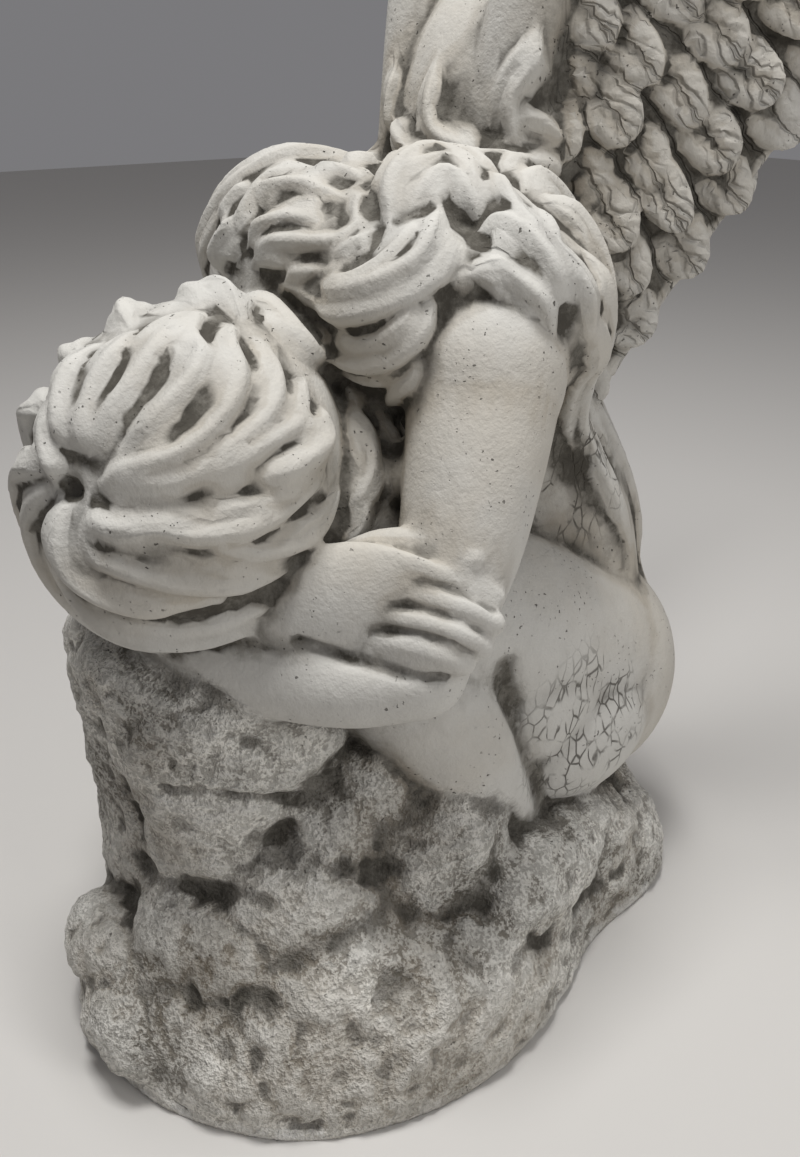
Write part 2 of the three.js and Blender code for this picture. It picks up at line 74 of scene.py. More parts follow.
def closedGrid(grid):
    # Rows by columns of points, every row a loop: quads between rows, and a fan at each end
    rows, sides = grid.shape[:2]
    verts = np.vstack([grid.reshape(-1, 3), grid[0].mean(0), grid[-1].mean(0)])
    r, s = np.meshgrid(np.arange(rows - 1), np.arange(sides), indexing="ij")
    a, b = r * sides + s, r * sides + (s + 1) % sides
    one = np.stack([a, b, b + sides], -1).reshape(-1, 3)
    two = np.stack([a, b + sides, a + sides], -1).reshape(-1, 3)
    s = np.arange(sides)
    n = (s + 1) % sides
    low = np.stack([np.full(sides, rows * sides), n, s], -1)
    last = (rows - 1) * sides
    high = np.stack([np.full(sides, rows * sides + 1), last + s, last + n], -1)
    tris = np.vstack([one, two, low, high])
    corner = verts[tris]
    volume = np.einsum("ij,ij->i", corner[:, 0], np.cross(corner[:, 1], corner[:, 2])).sum()
    return verts, tris if volume > 0 else tris[:, ::-1]


def tube(stations, across, rows=40, sides=32):
    # An oval carried along a smooth path; stations are x, y, z, half width, half depth.
    # Each end closes as a quarter of an ellipse.
    path = curveThrough([list(s) + ([s[3]] if len(s) == 4 else []) for s in stations], rows)
    centre, half = path[:, :3], path[:, 3:5]
    tangent = unit(np.gradient(centre, axis=0))
    cap = np.radians(np.linspace(84, 12, 6))[:, None]
    reach = half.min(1, keepdims=True)
    centre = np.vstack([
        centre[:1] - tangent[:1] * np.sin(cap) * reach[:1], centre,
        centre[-1:] + tangent[-1:] * np.sin(cap[::-1]) * reach[-1:],
    ])
    half = np.vstack([half[:1] * np.cos(cap), half, half[-1:] * np.cos(cap[::-1])])
    tangent = np.vstack([np.repeat(tangent[:1], 6, 0), tangent, np.repeat(tangent[-1:], 6, 0)])
    across = np.asarray(across, float)
    side = unit(across - (tangent @ across)[:, None] * tangent)
    up = np.cross(tangent, side)
    turn = np.linspace(0, 2 * np.pi, sides, endpoint=False)[None, :, None]
    return (centre[:, None] + side[:, None] * half[:, None, :1] * np.cos(turn)
            + up[:, None] * half[:, None, 1:] * np.sin(turn))


def blob(centre, half, rows=28, sides=36):
    # An ellipsoid read by colatitude and longitude
    down = np.linspace(0.05, np.pi - 0.05, rows)[:, None]
    turn = np.linspace(0, 2 * np.pi, sides, endpoint=False)[None, :]
    ball = np.stack([np.sin(down) * np.cos(turn), np.sin(down) * np.sin(turn),
                     np.cos(down) * np.ones_like(turn)], -1)
    return np.asarray(centre, float) + ball * np.asarray(half, float)


def mirrored(stations):
    # The same stations on the other side, x turned to -x
    return [[-s[0], *s[1:]] for s in stations]


def noise(points, grain, seed=0):
    # A hashed number at each lattice corner, blended with smooth weights, from -1 to 1
    p = points / grain + 1000.5
    cell = np.floor(p).astype(np.int64)
    f = p - cell
    f = f * f * (3 - 2 * f)
    total = np.zeros(len(p))
    for corner in range(8):
        bit = np.array([corner & 1, corner >> 1 & 1, corner >> 2 & 1])
        c = cell + bit
        h = (c[:, 0] * 73856093) ^ (c[:, 1] * 19349663) ^ (c[:, 2] * 83492791)
        h = h ^ (seed * 2654435761)
        h = ((h ^ (h >> 13)) * 1274126177) & 0xFFFFFFFF
        h = ((h ^ (h >> 16)) * 2246822519) & 0xFFFFFFFF
        weight = np.prod(np.where(bit, f, 1 - f), axis=1)
        total += weight * ((h >> 8 & 0xFFFF) / 32767.5 - 1)
    return total


def withLanes(grid, across, along):
    # The grid with two more columns, where each point lies across and along its strand
    lanes = [np.broadcast_to(lane, grid.shape[:2])[..., None] for lane in (across, along)]
    return np.concatenate([grid] + lanes, -1)


def joined(bodies):
    # The points of all the bodies in one list, and triangles that count on through it
    verts, tris, start = [], [], 0
    for grid in bodies:
        v, t = closedGrid(grid[..., :3])
        verts.append(v)
        tris.append(t + start)
        start += len(v)
    return np.vstack(verts), np.vstack(tris)


def meshFrom(name, verts, faces):
    mesh = bpy.data.meshes.new(name)
    mesh.from_pydata(verts.tolist(), [], faces.tolist())
    mesh.update()
    return mesh


def objectFrom(name, mesh):
    made = bpy.data.objects.new(name, mesh)
    bpy.context.scene.collection.objects.link(made)
    return made


def bakedMesh(shape):
    # The mesh with its modifiers applied
    graph = bpy.context.evaluated_depsgraph_get()
    return bpy.data.meshes.new_from_object(shape.evaluated_get(graph))


def skinned(name, verts, tris, voxel):
    # One outer skin round bodies that run into each other, at the given voxel size
    shape = objectFrom(name, meshFrom(name, verts, tris))
    remesh = shape.modifiers.new("skin", "REMESH")
    remesh.mode = "VOXEL"
    remesh.voxel_size = voxel
    mesh = bakedMesh(shape)
    bpy.data.objects.remove(shape)
    return mesh


def arraysOf(mesh):
    verts = np.empty(len(mesh.vertices) * 3)
    mesh.vertices.foreach_get("co", verts)
    edges = np.empty(len(mesh.edges) * 2, np.int64)
    mesh.edges.foreach_get("vertices", edges)
    normals = np.empty(len(mesh.vertices) * 3)
    mesh.vertices.foreach_get("normal", normals)
    return verts.reshape(-1, 3), edges.reshape(-1, 2), normals.reshape(-1, 3)


def neighbourMean(values, edges, times=1, keep=0.0):
    # Each value moves to the mean of its neighbours' values, times over
    count = len(values)
    a, b = np.concatenate([edges[:, 0], edges[:, 1]]), np.concatenate([edges[:, 1], edges[:, 0]])
    degree = np.maximum(np.bincount(a, minlength=count), 1)
    flat = values.reshape(count, -1)
    for _ in range(times):
        mean = np.stack([np.bincount(a, column[b], count) / degree for column in flat.T], 1)
        flat = flat * keep + mean * (1 - keep)
    return flat.reshape(values.shape)


# The rock: a low mound, boulders round it, and the tall one that carries the arms

rockLook = {
    "length": 334, "width": 305, "skirt": 36, "seat": 62,
    "pillarWidth": 138, "pillarDepth": 112, "pillarTop": 176,
    "boulder": 34, "coarse": 4.2, "lumps": 1.9, "small": 1.25, "grit": 0.75,
}
rockOutline = [
    [0.26, -0.98], [0.59, -0.89], [0.88, -0.67], [1.02, -0.39], [1.05, -0.12], [0.98, 0.15],
    [0.86, 0.42], [0.8, 0.75], [0.62, 0.91], [0.23, 1.0], [-0.26, 0.96], [-0.66, 0.75],
    [-0.88, 0.36], [-0.92, -0.04], [-0.82, -0.34], [-0.56, -0.56], [-0.26, -0.72], [0.0, -0.88],
]


def rockFoot():
    # The outline at the floor, drawn in as it rises
    ring = curveThrough(rockOutline + rockOutline[:1], 145)[:-1]
    ring = ring * [rockLook["width"] / 2, rockLook["length"] / 2]
    skirt, seat = rockLook["skirt"], rockLook["seat"]
    levels = np.array([[0, 0.3], [0, 0.7], [0, 0.985], [5, 1.0], [16, 1.0], [skirt * 0.75, 0.985],
                       [skirt, 0.955], [skirt + 10, 0.9], [seat - 6, 0.82], [seat, 0.72],
                       [seat + 4, 0.45], [seat + 6, 0.15]])
    grid = np.empty((len(levels), len(ring), 3))
    grid[:, :, :2] = ring[None] * levels[:, 1, None, None]
    grid[:, :, 2] = levels[:, :1]
    return grid


def boulder(x, y, z, a, b, c):
    grid = blob([0, 0, 0], [1, 1, 1], 20, 28)
    flat = grid.reshape(-1, 3)
    # Pressed towards a rounded box, and dented by noise
    flat = np.sign(flat) * np.abs(flat) ** 0.86
    flat = flat * np.array([a, b, c]) + [x, y, z]
    push = 1 + 0.16 * noise(flat, 24, 3)
    flat = [x, y, z] + (flat - [x, y, z]) * push[:, None]
    return flat.reshape(grid.shape)


boulders = [
    [-72, 0.78, 34, 0.95, 0.8], [-46, 0.82, 30, 0.95, 0.8], [-20, 0.84, 34, 1.0, 0.85],
    [-10, 0.5, 60, 1.35, 0.8], [14, 0.7, 50, 1.1, 0.8], [40, 0.78, 38, 1.05, 0.75],
    [66, 0.8, 34, 1.0, 0.7], [98, 0.82, 36, 1.1, 0.7], [130, 0.76, 34, 1.05, 0.7],
    [160, 0.66, 38, 1.05, 0.7], [-160, 0.56, 30, 0.9, 0.8],
]


def pillar():
    # A squared oval that carries the forearms; its far front corner is cut back
    low, top = rockLook["seat"] - 30, rockLook["pillarTop"]
    levels = np.array([[low, 1.04], [72, 0.98], [90, 0.94], [108, 0.93], [126, 0.97], [144, 1.01],
                       [160, 1.01], [top - 6, 0.97], [top, 0.86], [top + 3, 0.5]])
    turn = np.linspace(0, 2 * np.pi, 64, endpoint=False)
    x = np.sign(np.cos(turn)) * np.abs(np.cos(turn)) ** 0.7 * rockLook["pillarWidth"] / 2
    y = np.sign(np.sin(turn)) * np.abs(np.sin(turn)) ** 0.7 * rockLook["pillarDepth"] / 2
    grid = np.empty((len(levels), 64, 3))
    grid[:, :, 0] = x * levels[:, 1:]
    grid[:, :, 1] = y * levels[:, 1:]
    inFront = grid[:, :, 1] < 0
    grid[:, :, 1] += inFront * np.maximum(0, -0.35 * grid[:, :, 0] - 0.1 * rockLook["pillarWidth"])
    grid[:, :, 2] = levels[:, :1] + inFront * 10 * (levels[:, :1] > 150)
    return grid + [9, -71, 0]


def rockBodies():
    # The mound, the pillar, a ring of boulders by angle and share of the radius, and lumps
    made = [rockFoot(), pillar()]
    size = rockLook["boulder"]
    for angle, out, height, scale, flat in boulders:
        turn = np.radians(angle)
        made.append(boulder(np.cos(turn) * out * rockLook["width"] / 2,
                            np.sin(turn) * out * rockLook["length"] / 2, height,
                            size * scale, size * scale, size * scale * flat))
    for extra in rockExtras:
        made.append(boulder(*extra))
    return [np.concatenate([g[..., :2], np.maximum(g[..., 2:], 0)], -1) for g in made]


# Lumps of the rock that the near side shows: x, y, z and half axes
rockExtras = [
    [66, -66, 76, 44, 40, 26], [60, -44, 92, 40, 34, 34], [84, -2, 88, 42, 36, 32],
    [94, 8, 66, 30, 36, 26], [60, 60, 60, 60, 50, 18], [88, -14, 84, 34, 30, 26],
    [60, -100, 60, 40, 34, 22],
    [104, -60, 50, 36, 44, 24], [104, 40, 52, 34, 44, 24],
    [70, -24, 112, 30, 26, 30], [84, -62, 66, 30, 28, 22], [52, -110, 58, 30, 26, 20],
    [100, -96, 36, 28, 26, 20], [20, -138, 34, 30, 22, 20], [112, 20, 62, 26, 24, 20],
    [118, -8, 40, 26, 30, 22], [60, -146, 26, 26, 20, 18],
]


# The figure: stations are x, y, z above the seat and half axes, in drawn mm

seat = rockLook["seat"]
figure = {
    "torso": [[0, 112, 24, 78, 50], [0, 112, 66, 86, 58], [0, 106, 118, 82, 58],
              [0, 82, 172, 72, 56], [0, 60, 212, 72, 55], [0, 44, 246, 64, 42]],
    "neck": [[0, 24, 250, 34], [14, -40, 214, 34]],
    "leftArm": [[84, 22, 236, 29], [90, 14, 220, 29], [98, 4, 200, 27], [106, -9, 172, 24],
                [112, -28, 140, 20]],
    "leftForearm": [[112, -32, 130, 19.5], [92, -54, 126, 21], [62, -80, 126, 19],
                    [34, -98, 130, 14]],
    "rightArm": [[-80, 30, 248, 26], [-84, -8, 206, 25], [-74, -50, 163, 22],
                 [-52, -84, 134, 20]],
    "rightForearm": [[-52, -84, 132, 20], [0, -84, 138, 19], [46, -78, 146, 17],
                     [76, -66, 151, 15]],
    "thigh": [[50, 122, 52, 52], [56, 88, 76, 52], [63, 38, 104, 48], [68, -12, 124, 37]],
    "shin": [[72, -22, 116, 32], [78, -8, 94, 33], [84, 8, 66, 33], [84, 30, 26, 28],
             [82, 44, 0, 22]],
}
lift = np.array([0, 0, seat, 0, 0])


def placed(stations):
    # Stations lifted from the seat to the floor's zero, with a round section where one is given
    return [list(np.array(list(s) + ([s[3]] if len(s) == 4 else [])) + lift) for s in stations]


def placedBlob(centre, half, **more):
    return blob(np.array(centre) + [0, 0, seat], half, **more)


def bodyBodies():
    # Trunk, limbs and the masses where they meet
    f = figure
    return [
        tube(placed(f["torso"]), [1, 0, 0], 60, 64),
        tube(placed(f["neck"]), [1, 0, 0]),
        tube(placed(f["leftArm"]), [0, 1, 0]),
        tube(placed(f["leftForearm"]), [0, 0, 1]),
        tube(placed(f["rightArm"]), [0, 1, 0]),
        tube(placed(f["rightForearm"]), [0, 0, 1]),
        tube(placed(f["thigh"]), [1, 0, 0], 48, 48),
        tube(placed(f["shin"]), [1, 0, 0]),
        tube(placed(mirrored(f["thigh"])), [1, 0, 0], 48, 48),
        tube(placed(mirrored(f["shin"])), [1, 0, 0]),
        placedBlob([54, 116, 48], [53, 55, 64]),
        placedBlob([-54, 116, 48], [53, 55, 64]),
        placedBlob([66, 82, 42], [50, 62, 48]),
        placedBlob([77, 54, 70], [35, 58, 46]),
        placedBlob([-64, 88, 36], [46, 48, 38]),
        placedBlob([88, 19, 230], [28, 31, 34]),
        placedBlob([0, 20, 66], [78, 84, 60]),
        placedBlob([24, -22, 168], [56, 42, 60]),
    ]


# The right hand lies over the left elbow; a parting is a width and a depth
handLook = {"finger": 5.7, "nail": 3.4, "parting": (1.5, 2.0)}
digits = [
    # thumb, then four fingers: surface points from knuckle to tip
    [[86, -52, 172], [100, -40, 180], [114, -29, 183], [126, -19, 180]],
    [[88, -54, 167], [101, -42, 174], [116, -33, 176], [128, -23, 173], [134, -14, 166]],
    [[91, -58, 159], [106, -45, 166], [121, -37, 168], [134, -27, 165], [139, -18, 158]],
    [[94, -61, 151], [109, -49, 158], [125, -40, 160], [136, -31, 157], [139, -23, 150]],
    [[97, -62, 143], [110, -52, 149], [124, -44, 151], [133, -37, 149], [137, -30, 144]],
]


def handBodies():
    # The hand's back runs on under the fingers, each of which is a bent tube
    made = [tube(placed([[46, -84, 143, 13, 12], [60, -80, 146, 16, 12], [74, -71, 151, 19, 12],
                         [88, -60, 157, 22, 11.5], [101, -49, 161, 23, 9], [114, -38, 162, 20, 4],
                         [124, -30, 161, 16, 2]]), [0.2, 0.3, 1])]
    r = handLook["finger"]
    sink = np.array([0.72, -0.52, 0.46]) * r
    for number, knots in enumerate(digits):
        knots = np.array(knots, float) - sink
        radius = r * np.array([0.9, 1.1, 1.0, 1.0, 0.84])[: len(knots)]
        if number == 0:
            radius = radius * 1.12
        made.append(tube(placed(np.column_stack([knots, radius, radius * 0.95])), [0, 0, 1], 26, 20))
    # The thumb's nail, a small flat oval
    tip = np.array(digits[0][-1]) - sink * 0.32
    made.append(placedBlob(tip, [5, 4, handLook["nail"]], rows=12, sides=16))
    return made


# The head and the masses under the hair

headLook = {
    "centre": np.array([26, -78, 194 + seat]), "radius": 59, "length": 67,
    "axis": unit(np.array([-0.15, 0.5, 0.85])), "crown": unit(np.array([0.42, -0.86, 0.30])),
}
toNape = unit(headLook["axis"] - headLook["crown"] * (headLook["axis"] @ headLook["crown"]))
toEar = np.cross(headLook["crown"], toNape)
toEar = toEar * np.sign(toEar[0])


def onHead(longitude, colatitude):
    # Longitude runs from the nape round by the left ear, colatitude from the crown
    around, down = np.radians(longitude)[..., None], np.radians(colatitude)[..., None]
    direction = (headLook["crown"] * np.cos(down) + toNape * np.sin(down) * np.cos(around)
                 + toEar * np.sin(down) * np.sin(around))
    along = (direction @ headLook["axis"])[..., None]
    longer = headLook["length"] - headLook["radius"]
    return headLook["centre"] + direction * headLook["radius"] + headLook["axis"] * along * longer


def headBody():
    # The long ball of the head, read by colatitude and longitude from the crown
    down, turn = np.meshgrid(np.linspace(3, 177, 40), np.linspace(0, 360, 56, endpoint=False),
                             indexing="ij")
    return onHead(turn, down)


def hairMasses():
    # Ellipsoids under the mane: far shoulder, nape, near shoulder, and two that fill between
    return [
        placedBlob([-8, 12, 249], [80, 47, 54]),
        placedBlob([38, 44, 250], [62, 48, 50]),
        placedBlob([74, 40, 248], [34, 36, 38]),
        placedBlob([58, 4, 254], [30, 30, 30]),
        placedBlob([67, 15, 266], [27, 25, 17]),
        placedBlob([44, 24, 286], [28, 25, 16]),
    ]


# The wings: a bar, a web, and rows of feathers on both its faces

wingLook = {
    "height": 326, "chord": 172, "sweep": 56, "bar": 23, "web": 13, "start": 0.09, "droop": 54,
    "rows": 5, "along": 15, "featherRise": 7.5, "featherThick": 4.6,
}


class WingFrame:
    # Where things lie on a wing; flip is 1 for the near wing and -1 for the far one
    def __init__(self, flip):
        sweep = np.radians(wingLook["sweep"])
        self.flip = flip
        self.root = np.array([flip * 30, 70, 228 + seat])
        self.outward = np.array([flip * np.cos(sweep), np.sin(sweep), 0])
        self.face = np.array([flip * np.sin(sweep), -np.cos(sweep), 0])

    def bar(self, t):
        # Rises from the shoulder blade and leans out and back near the tip
        t = np.asarray(t, float)[..., None]
        high = wingLook["height"]
        return self.root + np.concatenate([self.flip * high * 0.22 * t**2.6, high * 0.3 * t**2.6,
                                           high * t], -1)

    def point(self, u, v, up):
        # u from the bar to the edge, v from the foot to the tip, up off the middle of the web
        u, v, up = np.broadcast_arrays(np.asarray(u, float), v, up)
        chord = wingLook["chord"] * (0.34 + 1.6 * v - 0.9 * v * v - 0.74 * v**6)
        fan = wingLook["droop"] * (-0.95 + 1.55 * np.maximum(v, 0) ** 0.7)
        base = self.bar(wingLook["start"] + (1 - wingLook["start"]) * v)
        return (base + self.outward * (chord * u)[..., None] + self.face * up[..., None]
                + np.array([0, 0, 1]) * (fan * u)[..., None])


def webBody(wing):
    # A thin plate from the bar to the edge, thinner towards the tip and the edge
    v = np.linspace(0, 1, 70)[:, None]
    thin = wingLook["web"] / 2 * (1 - 0.45 * v)
    u = np.concatenate([np.linspace(0.02, 0.965, 26), np.linspace(0.965, 0.02, 26)])[None, :]
    side = np.where(np.arange(52) < 26, 1, -1)[None, :] * (1 - 0.55 * smoothStep(0.6, 1, u))
    return wing.point(u, v, thin * side)


def barBody(wing):
    # A round bar that thins as it rises
    t = np.linspace(0, 1, 40)
    thick = wingLook["bar"] * (1 - 0.62 * t)
    stations = np.column_stack([wing.bar(t), thick, thick * 0.85])
    return tube(stations, wing.outward, 60, 36)


def featherBody(wing, tip, length, angle, width, side, rise, sink, thin):
    # A leaf: half width grows fast from the root and rounds off at the tip; a groove runs
    # along it and barbs slant off it. side 1 is the outer face, -1 the inner.
    rows, sides = 22, 24
    s = np.linspace(0, 1, rows)[:, None]
    turn = np.linspace(0, 2 * np.pi, sides, endpoint=False)[None, :]
    c, up = np.cos(turn), np.sin(turn)
    along = wing.outward * np.cos(angle) + np.array([0, 0, 1]) * np.sin(angle)
    across = np.cross(along, wing.face)
    half = (width / 2 * (0.6 + 0.4 * smoothStep(0, 0.4, s))
            * np.sqrt(np.clip(1 - (np.maximum(s - 0.4, 0) / 0.61) ** 3.2, 0.01, 1)))
    barb = 0.9 * np.sin(2 * np.pi * (s * length / 5.5 - np.abs(c) * 1.3)) * (up > 0.1)
    shaft = -2.2 * np.exp(-((c - 0.12) / 0.15) ** 2) * (up > 0)
    thick = wingLook["featherThick"] * np.sqrt(np.clip(1 - (np.maximum(s - 0.3, 0) / 0.71) ** 5, 0.02, 1))
    z = np.sign(up) * np.abs(up) ** 0.6 * thick * 0.75 + (barb + shaft) * smoothStep(0.05, 0.2, s)
    height = side * (thin - sink + rise * s + z)
    bend = 0.06 * length * (s - 0.5) ** 2
    made = (tip + along * ((s - 1) * length)[..., None] + across * (half * c + bend)[..., None]
            + wing.face * height[..., None])
    return withLanes(made, c, s)


def wingBodies(flip):
    # Rows of feathers from the bar to the edge, staggered, turning outwards as they rise
    wing = WingFrame(flip)
    look = wingLook
    feathers = []
    for side in (1, -1):
        for row in range(look["rows"]):
            share = 0.25 + 0.77 * row / (look["rows"] - 1)
            last = row == look["rows"] - 1
            for place in range(look["along"] + 2):
                v = (place - 0.4 + 0.5 * (row % 2)) / look["along"]
                jitter = rng.uniform(-1, 1, 5)
                pitch = look["height"] / look["along"]
                width = pitch * (1.14 + 0.12 * jitter[0]) * (1 + 0.15 * last) * (1 - 0.25 * max(v, 0))
                width *= 1 if side > 0 else 1.12
                length = pitch * (2.1 + 0.25 * jitter[1] + 0.5 * last) * (1 - 0.25 * max(v, 0))
                angle = np.radians(-64 + 105 * max(v, 0) ** 1.5 + 14 * row / 4 + 6 * jitter[2])
                place = wing.point(share + 0.02 * jitter[3], min(v, 1.0), 0)
                thin = look["web"] / 2 * (1 - 0.45 * min(max(v, 0), 1)) * (1 - 0.4 * last)
                rise = look["featherRise"] * (1 + 0.25 * jitter[4]) * (0.75 if last else 1)
                feathers.append(featherBody(wing, place, length, angle, width, side, rise, 3.4, thin))
    return [barBody(wing), webBody(wing)], feathers


def barBridge():
    # Between the shoulder blades the two bars run into each other, with a valley between
    stations = [[6, 66, 220, 40, 26], [6, 68, 290, 38, 24], [4, 74, 336, 34, 18], [0, 86, 368, 26, 7]]
    return tube(placed(stations), [1, 0, 0], 40, 40)


# Locks of the head: longitude and colatitude, from root to tip

headLocks = [
    [[290, 12], [300, 25], [310, 40]],
    [[325, 20], [325, 35], [335, 48]],
    [[355, 14], [350, 28], [350, 40], [350, 52]],
    [[20, 18], [15, 32], [10, 42], [5, 55], [5, 70]],
    [[50, 22], [42, 32], [35, 44], [28, 50], [15, 55], [5, 70]],
    [[70, 15], [65, 32], [55, 46], [43, 56], [28, 62], [18, 72]],
    [[80, 13], [78, 32], [65, 48], [55, 62], [42, 72], [25, 76]],
    [[85, 28], [75, 45], [65, 62], [58, 75], [45, 88]],
    [[80, 55], [75, 68], [67, 82], [57, 95]],
    [[140, 13], [105, 28], [98, 42], [92, 55], [85, 70], [75, 92]],
    [[108, 35], [103, 50], [100, 68], [93, 88], [82, 105]],
    [[165, 20], [140, 28], [127, 38], [118, 50], [112, 62], [107, 75], [100, 95]],
    [[210, 15], [190, 25], [160, 34], [142, 42], [130, 50], [122, 64]],
    [[235, 35], [200, 45], [180, 52], [160, 60], [145, 68], [130, 78], [118, 90], [105, 105],
     [90, 115]],
    [[250, 22], [240, 36], [220, 48], [196, 60], [174, 70], [156, 82], [140, 96]],
    [[272, 20], [262, 36], [246, 52], [224, 66], [204, 80], [186, 96]],
    [[300, 30], [288, 46], [272, 62], [252, 78], [236, 96]],
    [[318, 46], [308, 60], [296, 76], [280, 94]],
    [[345, 52], [334, 66], [322, 82], [308, 98]],
    [[20, 76], [4, 84], [348, 92], [336, 104]],
    [[120, 80], [112, 94], [100, 112], [90, 124]],
    [[162, 72], [150, 88], [136, 104], [122, 120]],
]
lockLook = {
    "width": 21, "rise": 7.0, "root": 0.3, "twist": 2.2, "groove": 0.09,
    "nearCrown": 27, "start": 8, "lean": 12,
}


def strand(path, normals, width, rise, root=0.5, tip=0.35, twist=4.0, groove=0.1, sides=28):
    # An oval laid on the surface so that its back stands rise above it. It swells from its
    # root and thins to its tip, and twisting grooves part it into finer strands.
    rows = len(path)
    s = np.linspace(0, 1, rows)[:, None]
    swell = (root + (1 - root) * smoothStep(0, 0.3, s)) * (tip + (1 - tip) * smoothStep(0, 0.35, 1 - s))
    tangent = unit(np.gradient(path, axis=0))
    side = unit(np.cross(tangent, normals))
    turn = np.linspace(0, 2 * np.pi, sides, endpoint=False)[None, :]
    wavy = 1 + groove * np.cos(6 * turn + twist * s * np.pi)
    half = width / 2 * swell
    thick = 0.62 * width * swell
    centre = path + normals * (rise * swell - thick)
    ends = np.sqrt(np.clip(1 - (2 * s - 1) ** 12, 0.02, 1))
    made = (centre[:, None] + side[:, None] * (half * wavy * ends * np.cos(turn))[..., None]
            + normals[:, None] * (thick * wavy * ends * np.sin(turn))[..., None])
    return withLanes(made, np.cos(turn), s)


def headStrands():
    # Locks laid along curves of longitude and colatitude; the short ones start at the crown
    made = []
    for number, lock in enumerate(headLocks):
        if lock[0][1] < lockLook["nearCrown"]:
            lock = [[lock[0][0] + lockLook["lean"], lockLook["start"]]] + lock
        places = curveThrough(lock if abs(lock[0][0] - lock[-1][0]) < 200 else
                              [[(a + 180) % 360 + 180, b] for a, b in lock], 36)
        path = onHead(places[:, 0], places[:, 1])
        normals = unit(path - headLook["centre"])
        width = lockLook["width"] * (1 + 0.14 * np.sin(number * 2.4))
        made.append(strand(path, normals, width, lockLook["rise"] * (1 + 0.2 * np.sin(number * 1.7)),
                           root=lockLook["root"], twist=lockLook["twist"], groove=lockLook["groove"]))
    return made


def laidOn(surface, points, count, smooth=3):
    # A smooth path through the points, brought to the nearest place of the surface
    path = curveThrough(points, count)
    found = [surface.find_nearest(Vector(p))[:2] for p in path]
    place = np.array([f[0][:] for f in found])
    normal = np.array([f[1][:] for f in found])
    for _ in range(smooth):
        place[1:-1] = (place[:-2] + 2 * place[1:-1] + place[2:]) / 4
        normal[1:-1] = (normal[:-2] + normal[1:-1] + normal[2:]) / 3
    return place, unit(normal)


